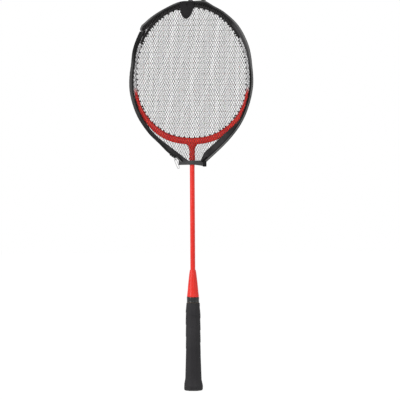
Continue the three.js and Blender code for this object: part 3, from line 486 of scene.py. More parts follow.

# %% [markdown]
# ### Leatherette, tape and cloth
#
# The grip is a soft band with a fine grain and rows of tiny holes, painted darker as
# painted shade. The collar is glossy tape with a few creases, painted darker in their
# hollows as painted shade. Cloth pieces have a weave: two waves at right angles, one
# along the piece and one across it, read from the lay of each point. The crests of the
# weave are painted lighter, a painted highlight.

# %% Soft finishes
PORE_PITCH = 2.6
leather = Recipe("grip_leather", Roughness=0.66, Specular_IOR_Level=0.2, Sheen_Weight=0.04,
                 Sheen_Roughness=0.5)
gx, gy, _ = leather.parts(leather.lay())
pores = leather.times(leather.ripple(gx, PORE_PITCH), leather.ripple(gy, PORE_PITCH))
holes = leather.span(pores, 0.90, 0.98)
skin_grain = leather.add("TexVoronoi", "Distance", {"Vector": leather.place(), "Scale": 1400.0})
leather_tone = leather.blend(leather.drift(22.0, 0.35, 0.7), (0.018, 0.017, 0.019),
                             (0.026, 0.025, 0.027))
grip_leather = leather.finish(
    # Painted shade: the holes are painted nearly black.
    Base_Color=leather.blend(leather.times(holes, 0.7), leather_tone, (0.006, 0.006, 0.006)),
    Normal=leather.relief(leather.minus(1.0, holes), 0.0002, 0.5,
                          leather.relief(skin_grain, 0.00008, 0.6)))

vinyl = Recipe("collar_vinyl", Roughness=0.2, Specular_IOR_Level=0.3, Coat_Weight=0.15,
               Coat_Roughness=0.06)
crease = vinyl.noise(140.0, detail=2.0)
collar_gloss = vinyl.finish(
    # Painted shade: the colour follows the creases, darker in their hollows.
    Base_Color=vinyl.blend(vinyl.span(crease, 0.3, 0.7), (0.007, 0.008, 0.008), (0.014, 0.015, 0.015)),
    Normal=vinyl.relief(crease, 0.0006, 0.55))
print(grip_leather.name, "and", collar_gloss.name)


# %% Cloths
def woven(name, colour, paler, thread=0.7, rib=0.0, sheen=0.02):
    """Cloth of two crossing threads, with ribs along the piece if rib isn't zero."""
    recipe = Recipe(name, Roughness=0.9, Specular_IOR_Level=0.05, Sheen_Weight=sheen,
                    Sheen_Roughness=0.6)
    along, across, out = recipe.parts(recipe.lay())
    weave = recipe.times(recipe.ripple(along, thread), recipe.ripple(across, thread))
    normal = recipe.relief(weave, 0.00012, 0.6)
    if rib:
        normal = recipe.relief(recipe.ripple(across, rib), 0.0004, 0.6, normal)
    base = recipe.blend(recipe.drift(55.0, 0.3, 0.75), colour, paler)
    # The weave's crests, where the bump is highest, are painted toward the paler tone: a painted highlight.
    return recipe, recipe.blend(recipe.times(weave, 0.5), base, paler), normal, out


def cloth(name, *tones, **numbers):
    recipe, shaded, normal, _ = woven(name, *tones, **numbers)
    return recipe.finish(Base_Color=shaded, Normal=normal)


wedge_cloth = cloth("wedge_cloth", (0.020, 0.019, 0.020), (0.050, 0.048, 0.050), rib=1.7)
tongue_cloth = cloth("tongue_cloth", (0.012, 0.011, 0.012), (0.022, 0.021, 0.022), thread=0.9)
tab_cloth = cloth("tab_cloth", (0.010, 0.010, 0.011), (0.020, 0.020, 0.021), rib=1.4)
hem_webbing = cloth("hem_webbing", (0.045, 0.045, 0.047), (0.080, 0.079, 0.081), thread=1.1, rib=2.4)
loop_webbing = cloth("loop_webbing", (0.11, 0.108, 0.105), (0.16, 0.158, 0.155), thread=1.1, rib=2.0)
stitch_thread = cloth("stitch_thread", (0.030, 0.030, 0.031), (0.050, 0.050, 0.051), thread=0.5)
net_thread = cloth("net_thread", (0.034, 0.030, 0.031), (0.062, 0.057, 0.058), thread=0.6, sheen=0.0)

# %% [markdown]
# The tape that binds the seam is folded cloth. Its fold stands up as a ridge with a painted
# highlight, and the flat beside the net stays nearly black, so the colour follows how far
# across the tape a point lies. Beside the upper half of the zip painted shade takes the
# highlight away, over the crown it is halved, and the tape is greyer high on the right.

# %% Cloth of the binding
RIDGE_SHADE_ZONE, GREYER_ZONE = ((0.53, 0.56), (0.600, 0.625)), ((0.545, 0.575), (0.622, 0.642))
DIMMER_RIDGE_ZONE = (0.63, 0.65)
tape, tape_base, tape_normal, ridge = woven(
    "binding_cloth", (0.004, 0.004, 0.004), (0.010, 0.010, 0.010), thread=0.8)
bx, _, bz = tape.parts(tape.place())
# Painted shade: beside the upper half of the zip, on the left, the ridge's painted highlight is taken away.
ridge_shade = tape.times(tape.span(bx, -0.075, -0.06, 1.0, 0.0), tape.zone(bz, *RIDGE_SHADE_ZONE))
# Painted highlight: the ridge of the fold is painted lighter, a little unevenly, and halved over the crown.
ridge_highlight = tape.times(ridge, tape.span(tape.noise(38.0), 0.25, 0.6, 0.45, 1.0))
for share in (tape.minus(1.0, ridge_shade), tape.span(bz, *DIMMER_RIDGE_ZONE, 1.0, 0.5)):
    ridge_highlight = tape.times(ridge_highlight, share)
# The tape is painted greyer high on the right side.
greyer = tape.times(tape.span(bx, 0.06, 0.075), tape.zone(bz, *GREYER_ZONE))
binding_tone = tape.blend(greyer, tape_base, (0.062, 0.061, 0.063))
binding_cloth = tape.finish(Base_Color=tape.blend(ridge_highlight, binding_tone, (0.17, 0.169, 0.169)),
                            Normal=tape_normal)
print(binding_cloth.name, "faded at", GREYER_ZONE, "m")

# %% [markdown]
# The zip's tape is painted lighter where the cover is widest and bulges most, as painted
# light, and it stays darker towards the zip's ends.

# %% Cloth of the zip
LIT_ZONE = (0.44, 0.515), (0.555, 0.585)
tape, tape_base, tape_normal, _ = woven("zip_cloth", (0.014, 0.014, 0.014), (0.026, 0.026, 0.026),
                                        thread=0.6, rib=1.1)
# Painted light: a paler zone where the cover bulges, darker towards the zip's ends.
paler = tape.zone(tape.parts(tape.place())[2], *LIT_ZONE)
zip_cloth = tape.finish(Base_Color=tape.blend(paler, tape_base, (0.072, 0.071, 0.071)),
                        Normal=tape_normal)
print(len(bpy.data.materials), "finishes")

# %% [markdown]
# ## The hoop
#
# The head is an oval of tube, rolled into a section with a string groove on its outside.
# Above the middle it is an ellipse and below it a fuller oval. Everything on the head
# needs places along this curve, so the curve is worked out first: a run is a distance
# along the inner face, from the crown down the right side and back up the left.

# %% Curve of the hoop
HOOP_WALL, THROAT_WALL, GROOVE = 6, 11.4, 2.2
CROWN_POWER, THROAT_POWER, SWELL_SHARE = 2, 2.3, 0.3
FIT = 0.3


def hoop_at(angle):
    """Outer curve, its outward normal and the wall, at an angle from +X."""
    power = CROWN_POWER if math.sin(angle) >= 0 else THROAT_POWER
    a, b = HOOP_WIDTH / 2, HOOP_LENGTH / 2
    across, up = soft_ring(angle, power)
    nx = math.copysign(abs(across) ** (power - 1), across) / a
    nz = math.copysign(abs(up) ** (power - 1), up) / b
    size = math.hypot(nx, nz)
    wall = HOOP_WALL + (THROAT_WALL - HOOP_WALL) * smoothstep(-up, SWELL_SHARE, 1)
    return a * across, b * up, nx / size, nz / size, wall


RUN_STEPS = 720
run_angles = [math.pi / 2 - math.pi * i / RUN_STEPS for i in range(RUN_STEPS + 1)]
inner = np.array([(x - nx * w, z - nz * w) for x, z, nx, nz, w in map(hoop_at, run_angles)])
run_table = run_along(inner)
HALF_RUN = float(run_table[-1])


def hoop_on(run):
    """The hoop at a run, and -1 on its left half or 1 on its right."""
    whole = run % (2 * HALF_RUN)
    left = whole > HALF_RUN
    angle = np.interp(2 * HALF_RUN - whole if left else whole, run_table, run_angles)
    return *hoop_at(float(angle)), -1 if left else 1


def hoop_place(run, out, y):
    """A point at a run, some way out of the inner face, at a depth."""
    x, z, nx, nz, wall, side = hoop_on(run)
    return side * (x - nx * (wall - out)), y, HOOP_MIDDLE + z - nz * (wall - out)


def wall_at(run):
    return hoop_on(run)[4]


print("half of the hoop runs", round(HALF_RUN, 1), "mm inside")

# %% Roll the hoop
HOOP_STATIONS = 420
# Share of the wall and depth, from the middle of the inner face to the groove.
FLANK = [(0.0, 0.0), (0.012, 1.6), (0.08, 3.3), (0.2, 4.55), (0.36, 5.2), (0.55, 5.3),
         (0.74, 5.05), (0.88, 4.6), (0.965, 4.15), (1.0, 3.7)]
# Distance under the outer face and depth, from the lip to the groove's floor.
LIP = ((0.12, 3.1), (1.1, 2.35), (GROOVE, 1.9), (GROOVE, 0))
rows = []
for i in range(HOOP_STATIONS):
    run = 2 * HALF_RUN * i / HOOP_STATIONS
    wall = wall_at(run)
    half = [(share * wall, y) for share, y in FLANK] + [(wall - under, y) for under, y in LIP]
    section = half + [(out, -y) for out, y in half[-2:0:-1]]
    rows.append([hoop_place(run, out, y) for out, y in section])
settle(lofted("hoop", hoop_gloss, rows, smooth=50, loop=True), "racket", "hoop_paint", "head_frame")

# %% [markdown]
# ## Strings
#
# Twenty mains and twenty-one crosses pass through moulded barrels in the hoop. First
# come the holes: each string wants a hole in line with it, and holes that would be too
# close are pushed apart along the hoop.

# %% Find the holes
MAIN_PITCH, MAIN_SIDE = 8.7, 10
CROSS_PITCH, CROSS_SIDE, CROSS_LIFT = 9.3, 10, 0.5
LEAST_HOLE_PITCH = 4.6
BARREL_STAND, STRING_BEND, BAND = 1.2, 0.6, 0.6
STRING_RADIUS, LAYER_SHIFT = 0.35, 0.5
EXIT_OUT = -(BARREL_STAND + STRING_BEND)


def run_where(axis, value, low, high):
    rising = hoop_place(high, EXIT_OUT, 0)[axis] > hoop_place(low, EXIT_OUT, 0)[axis]
    for _ in range(40):
        middle = (low + high) / 2
        if (hoop_place(middle, EXIT_OUT, 0)[axis] < value) == rising:
            low = middle
        else:
            high = middle
    return (low + high) / 2


side_run = run_where(2, HOOP_MIDDLE, 0, HALF_RUN)
main_count, cross_count = 2 * MAIN_SIDE, 2 * CROSS_SIDE + 1
main_xs = [MAIN_PITCH * (i - MAIN_SIDE + 0.5) for i in range(main_count)]
cross_zs = [HOOP_MIDDLE + CROSS_LIFT + CROSS_PITCH * (CROSS_SIDE - j) for j in range(cross_count)]
holes = []
for i in range(MAIN_SIDE):
    x = MAIN_PITCH * (i + 0.5)
    holes.append(["main", i, "upper", run_where(0, x, 0, side_run)])
    holes.append(["main", i, "lower", run_where(0, x, side_run, HALF_RUN)])
holes += [["cross", j, "side", run_where(2, z, 0, HALF_RUN)] for j, z in enumerate(cross_zs)]
holes.sort(key=lambda hole: hole[3])
for _ in range(60):
    for before, after in zip(holes, holes[1:]):
        lack = LEAST_HOLE_PITCH - (after[3] - before[3])
        if lack > 0:
            after[3] += lack / 2
            before[3] -= lack / 2
find_hole = {tuple(hole[:3]): hole[3] for hole in holes}
print(2 * len(holes), "holes round the hoop")

# %% [markdown]
# A grommet strip is a soft plastic band in the groove with a barrel for each hole. Each
# barrel shows inside the hoop as a small black collar with the string in its bore. It is
# drawn as rings of a rounded rectangle that step in at the lip and go down the bore.

# %% Mould the grommet strips
RING_SIDES, BARREL_POWER = 14, 3.2
SEAT, STRIP_END, STRIP_STEP = 0.15, 1.8, 2.5
BAND_SECTION = ((0, 1.5), (0.35, 1.55), (BAND, 1.2), (BAND, -1.2), (0.35, -1.55), (0, -1.5))
# Distance out of the inner face, half size along the hoop and half depth of each ring.
BARREL = [(1.6, 1.1, 1.5), (0.5, 1.3, 1.7), (0.2, 1.62, 2.1), (-0.3, 1.7, 2.2), (-0.7, 1.62, 2.1),
          (-0.9, 1.42, 1.8), (-1.6, 1.32, 1.65), (-1.95, 1.1, 1.4), (-1.93, 0.75, 1.05),
          (-0.9, 0.5, 0.75), (0.4, 0.45, 0.6)]


def barrel_ring(run, out, half_size, half_depth):
    ring = [soft_ring(turn, BARREL_POWER) for turn in turns(RING_SIDES)]
    return [hoop_place(run + half_size * a, out, half_depth * b) for a, b in ring]


def grommet_strip(runs):
    """A band in the groove from the first hole to the last, and a barrel for each."""
    strip = Skin()
    start, stop = runs[0] - STRIP_END, runs[-1] + STRIP_END
    steps = max(2, int((stop - start) / STRIP_STEP))
    band = []
    for i in range(steps + 1):
        run = start + (stop - start) * i / steps
        seat = wall_at(run) - GROOVE + SEAT
        band.append([hoop_place(run, seat + a, b) for a, b in BAND_SECTION])
    strip.loft(band)
    for run in runs:
        strip.loft([barrel_ring(run, *ring) for ring in BARREL])
    return strip


for side in ("right", "left"):
    runs = [hole[3] if side == "right" else 2 * HALF_RUN - hole[3] for hole in holes]
    size = math.ceil(len(runs) / 4)
    for k in range(4):
        strip = grommet_strip(sorted(runs[k * size:(k + 1) * size]))
        settle(strip.piece(f"grommets_{side}_{k + 1}", grommet_black), "racket",
               "grommet_plastic", f"grommet_strip_{side}_{k + 1}")

# %% [markdown]
# The string bed is woven: each cross goes over one main and under the next. A wave with
# half a period per crossing gives both sets, one in step and the other against it. The
# route also turns in the groove from hole to hole, as one long string does.

# %% Weave the strings
WEAVE_RISE, GROOVE_STEP, STRING_SIDES = 0.37, 4, 6
# Places near a crossing, in crossings' spacings, and the share of the rise at each.
WAVE = ((-0.25, 0.72), (0, 1.0), (0.25, 0.72), (0.5, 0.0))
END_SHARE = 0.004


def main_passes():
    passes = []
    for i in range(main_count):
        right = i >= MAIN_SIDE
        row = i - MAIN_SIDE if right else MAIN_SIDE - 1 - i
        ends = [find_hole["main", row, end] for end in ("upper", "lower")]
        ends = ends if right else [2 * HALF_RUN - run for run in ends]
        passes.append(ends[::-1] if i % 2 == (MAIN_SIDE - 1) % 2 else ends)
    return passes


def cross_passes():
    runs = [find_hole["cross", j, "side"] for j in range(cross_count)]
    ends = [[run, 2 * HALF_RUN - run] for run in runs]
    return [pair[::-1] if j % 2 else pair for j, pair in enumerate(ends)]


def groove_out(run):
    return wall_at(run) - GROOVE + SEAT + BAND + STRING_RADIUS


def woven_span(a, b, row, axis, crossings, sign):
    """Points from one exit to the other, waving over and under the strings it meets."""
    a, b = np.array(a), np.array(b)
    span = abs(b[axis] - a[axis])
    spacing = abs(crossings[1] - crossings[0]) / span
    met = list(enumerate(crossings))
    route = [a]
    for index, mark in met if a[axis] < b[axis] else met[::-1]:
        share = abs(mark - a[axis]) / span
        if not END_SHARE < share < 1 - END_SHARE:
            continue
        lift = sign * WEAVE_RISE * (1 if (row + index) % 2 else -1)
        for shift, part in WAVE:
            at = share + shift * spacing
            if END_SHARE < at < 1 - END_SHARE:
                point = a + (b - a) * at
                point[1] = lift * part
                route.append(point)
    return [*route, b]


def string_route(passes, y, *weave):
    """The whole string: woven from exit to exit, and in the groove between holes."""
    route = []
    for i, (start, stop) in enumerate(passes):
        route.append(hoop_place(start, groove_out(start) - STRING_BEND, y))
        route += woven_span(hoop_place(start, EXIT_OUT, 0), hoop_place(stop, EXIT_OUT, 0), i, *weave)
        route.append(hoop_place(stop, groove_out(stop) - STRING_BEND, y))
        if i + 1 == len(passes):
            return route
        following = passes[i + 1][0]
        if abs(following - stop) > HALF_RUN:
            following -= math.copysign(2 * HALF_RUN, following - stop)
        way = math.copysign(1, following - stop)
        first, last = stop + way * STRING_BEND, following - way * STRING_BEND
        steps = max(1, math.ceil(abs(last - first) / GROOVE_STEP))
        for k in range(steps + 1):
            run = first + (last - first) * k / steps
            route.append(hoop_place(run, groove_out(run), y))


for name, node, passes, y, *weave in (
        ("woven_mains", "main_string", main_passes(), LAYER_SHIFT, 2, sorted(cross_zs), 1),
        ("woven_crosses", "cross_string", cross_passes(), -LAYER_SHIFT, 0, main_xs, -1)):
    string = Skin()
    tube(string, string_route(passes, y, *weave), STRING_RADIUS, STRING_SIDES)
    settle(string.piece(name, string_nylon, smooth=80), "racket", "string", node)

# %% [markdown]
# ## Throat, shaft and cone
#
# These are turned and drawn parts, so a profile swept round the axis gives each of them.
# Small rounds on the rims catch the light as real edges do. The throat joint isn't
# round: it spreads sideways into the hoop, so its rings are ellipses.

# %% Turn the rigid red parts
def turned_piece(name, profile, finish, sides=64, smooth=35, lift=lambda z, turn: z):
    rows = [[(radius * math.cos(t), radius * math.sin(t), lift(z, t), run, t * 10, 0)
             for t in turns(sides)] for (radius, z), run in zip(profile, run_along(profile))]
    return lofted(name, finish, rows, smooth, loop=True)


def rounded_profile(points, radius, steps=4):
    """A closed profile whose corners are rounded by short arcs."""
    made = []
    for before, here, after in zip(points[-1:] + points[:-1], points, points[1:] + points[:1]):
        b, h, a = map(np.array, (before, here, after))
        cut = min(radius, 0.45 * np.linalg.norm(b - h), 0.45 * np.linalg.norm(a - h))
        start, stop = h + unit(b - h) * cut, h + unit(a - h) * cut
        for t in (k / steps for k in range(steps + 1)):
            made.append(tuple((1 - t) ** 2 * start + 2 * t * (1 - t) * h + t * t * stop))
    return made


SHAFT_RADIUS, SHAFT_BORE, CONE_BASE = 4.2, 3.3, 160.8
shaft_low, shaft_high = (corner.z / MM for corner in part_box("shaft"))
shaft_profile = [(SHAFT_BORE, shaft_low), *[(SHAFT_RADIUS, z) for z in (shaft_low, 180, 300, shaft_high)],
                 (SHAFT_BORE, shaft_high)]
settle(turned_piece("painted_shaft", rounded_profile(shaft_profile, 0.3), red_gloss),
       "racket", "red_paint", "shaft")
cone_profile = [(radius, CONE_BASE + up) for radius, up in (
    (4.5, 0), (10.3, 0), (10.42, 1.4), (10.25, 2.9), (10.05, 4.2), (9.5, 9.2), (8.15, 23.3),
    (6.55, 37.2), (5.65, 43.9), (5.3, 45.2), (5.2, 47), (4.5, 47))]
settle(turned_piece("painted_cone", rounded_profile(cone_profile, 0.7), red_gloss),
       "racket", "red_paint", "cone_ferrule")

# %% Form the throat joint
JOINT_TOP = HOOP_MIDDLE - HOOP_LENGTH / 2 - FIT
JOINT_FOOT = JOINT_TOP - 26.5
# Half width, half depth and height over the foot of each ring.
joint_rings = [(4.4, 4.4, 0), (4.85, 4.85, 0), (5.1, 5.1, 0.35), (5.1, 5.1, 1.5), (5.0, 5.0, 1.9),
               (5.0, 5.0, 14)]
joint_rings += [(5.0 + 4.4 * t ** 3.2, 5.0 + 0.1 * t, 14 + 12.5 * t)
                for t in (k / 12 for k in range(1, 13))]
joint_rings += [(9.2, 5.0, 27.6), (8.4, 4.0, 28.3)]
joint_rows = [[(w * math.cos(t), d * math.sin(t), JOINT_FOOT + up) for t in turns(56)]
              for w, d, up in joint_rings]
settle(lofted("painted_joint", red_gloss, joint_rows), "racket", "red_paint", "throat_joint")

# %% [markdown]
# ## Handle
#
# The core is wood with eight bevels, and it keeps its CAD shape. Over it a band of soft
# leatherette is wound from the butt up. Each turn laps the last, so a ridge goes round
# the handle like a screw thread and the band swells a little between ridges. The section
# is an octagon with soft corners, which one power sum of its four widths draws.

# %% Wind the grip
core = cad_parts["handle_core"]
core.data.materials.clear()
core.data.materials.append(handle_wood)
GRIP_LOW, GRIP_HIGH, GRIP_PITCH, GRIP_THICKNESS = 5.1, 151.2, 20.6, 1.6
GRIP_WIDTH, FLARE_WIDTH, GRIP_SIDES, GRIP_LEVELS = 25.3, 32.4, 112, 190
FLARE_TOP, FLARE_FULL, FLARE_POWER = 36, 9, 1.6
NARROW_FROM, NARROWING = 130, 2.2
LAP_RISE, LAP_SHARE, TURN_SWELL, GRIP_SINK = 0.55, 0.07, 0.10, 0.3


def handle_width(z):
    flared = min(max((FLARE_TOP - z) / (FLARE_TOP - FLARE_FULL), 0), 1) ** FLARE_POWER
    return (GRIP_WIDTH + (FLARE_WIDTH - GRIP_WIDTH) * flared
            - NARROWING * smoothstep(z, NARROW_FROM, GRIP_HIGH))


def octagon_radius(turn, width, power=15):
    total = sum(abs(math.cos(turn - k * math.pi / 4)) ** power for k in range(4))
    return width / 2 / total ** (1 / power)


def grip_ring(z, inside=False):
    ring = []
    for turn in turns(GRIP_SIDES):
        phase = (z / GRIP_PITCH + turn / (2 * math.pi)) % 1
        lap = (LAP_RISE * smoothstep(phase, 0, LAP_SHARE) * (1 - phase)
               + TURN_SWELL * math.sin(math.pi * phase))
        radius = octagon_radius(turn, handle_width(z)) - (GRIP_THICKNESS if inside else GRIP_SINK - lap)
        ring.append((radius * math.cos(turn), radius * math.sin(turn), z,
                     radius * turn, phase * GRIP_PITCH, 0))
    return ring


grip_top = GRIP_HIGH - 0.5
grip_rows = [grip_ring(GRIP_LOW + (grip_top - GRIP_LOW) * i / GRIP_LEVELS) for i in range(GRIP_LEVELS + 1)]
grip_rows += [grip_ring(GRIP_HIGH, inside=True), grip_ring(GRIP_LOW, inside=True)]
settle(lofted("wound_grip", grip_leather, grip_rows, smooth=45, loop=True), "racket",
       "grip_leatherette", "grip_wrap")

# %% Collar tape and butt cap
COLLAR_LIFT, EDGE_ZONE = 1.1, (157, 160.6)
collar_profile = [(10.45, 151.6), (10.85, 151.6), (10.9, 152.2), (10.7, 153.2), (10.62, 154.2),
                  (10.66, 157.0), (10.75, 159.4), (10.72, 160.3), (10.5, 160.6), (10.46, 159.0),
                  (10.45, 155.0)]


def tape_edge(z, turn):
    """The tape's upper edge climbs on the left, where its last turn crosses itself."""
    return z + COLLAR_LIFT * smoothstep(-math.cos(turn), 0, 1) * smoothstep(z, *EDGE_ZONE)


settle(turned_piece("collar_tape", collar_profile, collar_gloss, sides=72, smooth=40,
                    lift=tape_edge), "racket", "collar_vinyl", "grip_collar")
# Distance in from the widest octagon, and height, of each ring of the cap.
cap_rings = [(4.2, 0.0), (2.6, 0.12), (1.2, 0.75), (0.35, 1.7), (0, 2.9), (0, 4.0), (0.25, 4.8), (2.0, 4.8)]
cap_rows = []
for inset, z in cap_rings:
    spokes = [(octagon_radius(t, FLARE_WIDTH) - inset, t) for t in turns(GRIP_SIDES)]
    cap_rows.append([(radius * math.cos(t), radius * math.sin(t), z) for radius, t in spokes])
settle(lofted("butt_end", butt_black, cap_rows), "racket", "butt_plastic", "butt_cap")

# %% [markdown]
# ## Seam of the cover
#
# The cover is two nets joined along one outline. Its left side is a true arc, so that
# the zip's slider can run on it. The crown and the right side are a smooth curve through
# places measured on the cover. All cloth pieces are laid out from this seam, so the
# stations below hold its places, its outward directions and its length so far.

# %% Trace the seam
LEFT_HALF, RIGHT_HALF, CROWN_RISE = 106, 105.8, 126
MOUTH_HALF, MOUTH_HEIGHT = 22.4, 397
SEAM_DROP, ZIP_RISE, ZIP_FOOT_LIFT = 2.1, 0.5843, 6.86
SLIDER_HALF, SLIDER_PARK = 5.5, 1.29
SEAM_MIDDLE = HOOP_MIDDLE - SEAM_DROP
ARC_FALL, ARC_INSET = SEAM_MIDDLE - MOUTH_HEIGHT, LEFT_HALF - MOUTH_HALF
SEAM_RADIUS = (ARC_INSET ** 2 + ARC_FALL ** 2) / (2 * ARC_INSET)
SEAM_CENTRE = SEAM_RADIUS - LEFT_HALF
MOUTH_ANGLE = math.asin(ARC_FALL / SEAM_RADIUS)
ZIP_LOW = MOUTH_ANGLE - ZIP_FOOT_LIFT / SEAM_RADIUS
ZIP_HIGH = -math.asin((CROWN_RISE * ZIP_RISE + SEAM_DROP) / SEAM_RADIUS)
ZIP_REST = ZIP_LOW - (SLIDER_PARK + SLIDER_HALF) / SEAM_RADIUS
SEAM_SHARES = [
    (-0.811, 0.671), (-0.638, 0.794), (-0.426, 0.903), (-0.179, 0.992), (0.02, 1.0),
    (0.222, 0.999), (0.361, 0.934), (0.535, 0.848), (0.763, 0.667), (0.896, 0.466),
    (0.952, 0.325), (0.988, 0.119), (1.0, -0.142), (0.921, -0.394), (0.803, -0.581),
    (0.652, -0.73), (0.48, -0.86), (0.268, -1.0)]
# How far the cloth bags out, at which height, over what half height, and how squarely.
BAGS = ((1.9, 495, 36, 4), (-2.4, 425, 14, 2), (-1.9, 563, 17, 2), (0.6, 508, 94, 8))
SLIP_TOP, SLIP_FALL, MOST_SLIP = 404, 7, 3.6


def seam_share_place(share):
    """A place on the crown or the right side, from shares of the cover's half sizes."""
    sx, sz = share
    fall = HOOP_MIDDLE - MOUTH_HEIGHT
    return np.array([sx * (LEFT_HALF if sx < 0 else RIGHT_HALF),
                     HOOP_MIDDLE + sz * (fall if sz < 0 else CROWN_RISE)])


def arc_point(angle, out=0.0):
    radius = SEAM_RADIUS + out
    return np.array([SEAM_CENTRE - radius * math.cos(angle), SEAM_MIDDLE - radius * math.sin(angle)])


def zip_place(angle, out=0.0):
    """A place on the zip's arc, where the cloth bags out of it or draws in."""
    height = arc_point(angle)[1]
    return arc_point(angle, out + sum(size * math.exp(-abs((height - middle) / half) ** power)
                                      for size, middle, half, power in BAGS))


def foot_slip(place):
    """Below the zip's foot the cloth runs steeper than the arc, to the end of the hem."""
    fallen = min(max((SLIP_TOP - place[1]) / SLIP_FALL, 0), 1)
    return place - np.array([MOST_SLIP * fallen ** 1.5, 0])


def between(t, low, high, a, b):
    """The place at t on the straight way from a, at low, to b, at high."""
    return ((high - t) * a + (t - low) * b) / (high - low)


def smooth_curve(points, per_span):
    """Centripetal Catmull-Rom curve through the points."""
    points = [2 * points[0] - points[1], *points, 2 * points[-1] - points[-2]]
    made = []
    for four in zip(points, points[1:], points[2:], points[3:]):
        knots = [0.0]
        for a, b in zip(four, four[1:]):
            knots.append(knots[-1] + np.linalg.norm(b - a) ** 0.5)
        for k in range(per_span):
            t = knots[1] + (knots[2] - knots[1]) * k / per_span
            first, second, third = (between(t, *knots[i:i + 2], *four[i:i + 2]) for i in range(3))
            low = between(t, knots[0], knots[2], first, second)
            high = between(t, knots[1], knots[3], second, third)
            made.append(between(t, knots[1], knots[2], low, high))
    return made + [points[-2]]


ARC_STEPS, CURVE_STEPS = 96, 12
# Places across the kink at the zip's upper end: share of the way, and how far out.
KINK = ((0.25, 1.9), (0.6, 1.2))
arc_part = [foot_slip(zip_place(MOUTH_ANGLE + (ZIP_HIGH - MOUTH_ANGLE) * i / ARC_STEPS))
            for i in range(ARC_STEPS + 1)]
curve_part = smooth_curve([seam_share_place(share) for share in SEAM_SHARES], CURVE_STEPS)
gap_way = curve_part[0] - arc_part[-1]
gap_out = unit(np.array([-gap_way[1], gap_way[0]]))
seam = np.array(arc_part + [arc_part[-1] + gap_way * t + gap_out * out for t, out in KINK] + curve_part)
zipped = np.array([1.0] * (ARC_STEPS + 1) + [0.5, 0.1] + [0.0] * len(curve_part))
ahead = unit(np.diff(seam, axis=0))
left_of = np.column_stack([-ahead[:, 1], ahead[:, 0]])
seam_out = unit(np.vstack([left_of[:1], left_of[:-1] + left_of[1:], left_of[-1:]]))
seam_run = run_along(seam)
print("seam", round(seam_run[-1]), "mm,", len(seam), "stations")


def seam_spot(run, out):
    """A place some way along the seam and some way out of it, or in if below zero."""
    return at_run(run, seam_run, seam) + unit(at_run(run, seam_run, seam_out)) * out


# %% [markdown]
# ### Depth of the cover
#
# Between the nets the cover is as deep as the hoop. At the mouth it closes round the
# shaft, and at the mouth's ends front and back nearly meet. One function gives this
# depth, and all cloth pieces ask it, so that they stay on top of each other.

# %% Depth and fold
FACE_DEPTH, CLOSE_IN, OPENS_OVER, SIDE_SHARE = 6.0, 2.0, 20, 1.2
HEM_NEAR, HEM_PINCH, PINCH_FROM, HEM_LAP, HEM_TALL = 5.2, 2.3, 0.25, 0.3, 7.1
UNDER_HEM = MOUTH_HEIGHT - 4.5


def hem_depth(x):
    return HEM_NEAR + (HEM_PINCH - HEM_NEAR) * smoothstep(abs(x) / MOUTH_HALF, PINCH_FROM, 1)


def face_depth(x, z):
    """Distance from the mid plane to the cloth, at a place on the face of the cover."""
    away = max(z - MOUTH_HEIGHT, 0) + SIDE_SHARE * max(abs(x) - MOUTH_HALF, 0)
    near = hem_depth(x) + HEM_LAP
    return near + (FACE_DEPTH - near) * smoothstep(away, 0, OPENS_OVER)


def squeeze(y, x, z):
    """Move a depth meant for the flat part of the cover to its place near the mouth."""
    if y <= CLOSE_IN:
        return y
    return CLOSE_IN + (y - CLOSE_IN) * (face_depth(x, z) - CLOSE_IN) / (FACE_DEPTH - CLOSE_IN)


FOLD_DEPTH, FOLD_SOFT, FOLD_ABOVE_ZIP, FOLD_DROP, TAB_ROOM = 6.4, 3.0, 4.72, 7.4, 3.8


def settle_on_fold(piece, slot, *nodes):
    """The piece keeps its place, with its transform baked into its mesh, and stands for these CAD nodes."""
    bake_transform(piece)
    return take_slot(piece, nodes)


# %% [markdown]
# ## Binding
#
# A folded tape binds the edge of each net. Its section has a standing side, a round
# shoulder, a ridge with a painted highlight and a flat that laps over the net. The tape is
# drawn up by its stitches, so it puckers a little along its length: small waves that don't repeat.
# On the front one piece goes right round.

# %% Section of the binding
BINDING_WIDTH = 6.3
# Out of the seam, depth, and share of the ridge's painted highlight, of each point round the tape.
PLAIN_EDGE = [(-0.05, 0.32, 0), (0.0, 1.6, 0), (-0.12, 3.4, 0.1), (-0.5, 4.9, 0.35), (-1.1, 5.85, 0.6),
              (-1.8, 6.3, 1), (-2.5, 6.38, 0.9), (-3.1, 6.2, 0.2), (-4.2, 6.14, 0),
              (-5.2, 6.16, 0), (-5.9, 6.22, 0), (-6.3, 6.05, 0), (-6.25, 5.7, 0), (-4.0, 5.62, 0),
              (-2.2, 5.5, 0), (-1.35, 4.6, 0), (-1.2, 2.6, 0), (-1.25, 0.32, 0)]
ZIPPED_EDGE = [(-1.52, 4.06, 0), (-1.56, 4.4, 0), (-1.7, 4.9, 0.05), (-1.95, 5.4, 0.2), (-2.3, 5.85, 0.7),
               (-2.8, 6.2, 1), (-3.4, 6.3, 0.9), (-3.9, 6.22, 0.3), (-4.5, 6.14, 0.05),
               (-5.3, 6.16, 0), (-5.95, 6.22, 0), (-6.3, 6.05, 0), (-6.25, 5.7, 0), (-4.4, 5.62, 0),
               (-3.6, 5.55, 0), (-3.0, 5.2, 0), (-2.82, 4.6, 0), (-2.8, 4.06, 0)]


def pucker(run, seed):
    return (0.5 * math.sin(run * 0.83 + seed) + 0.3 * math.sin(run * 1.71 + 2 * seed)
            + 0.2 * math.sin(run * 0.37 + 3 * seed))


print(len(PLAIN_EDGE), "points round the tape")

# %% [markdown]
# Over the crown the tape is cut wider, so that it always meets the hoop: the width to
# add is the gap that would be left between them, and a lap. The lap is smallest at the
# upper end of the zip, where a line of the silver paint stays bare.

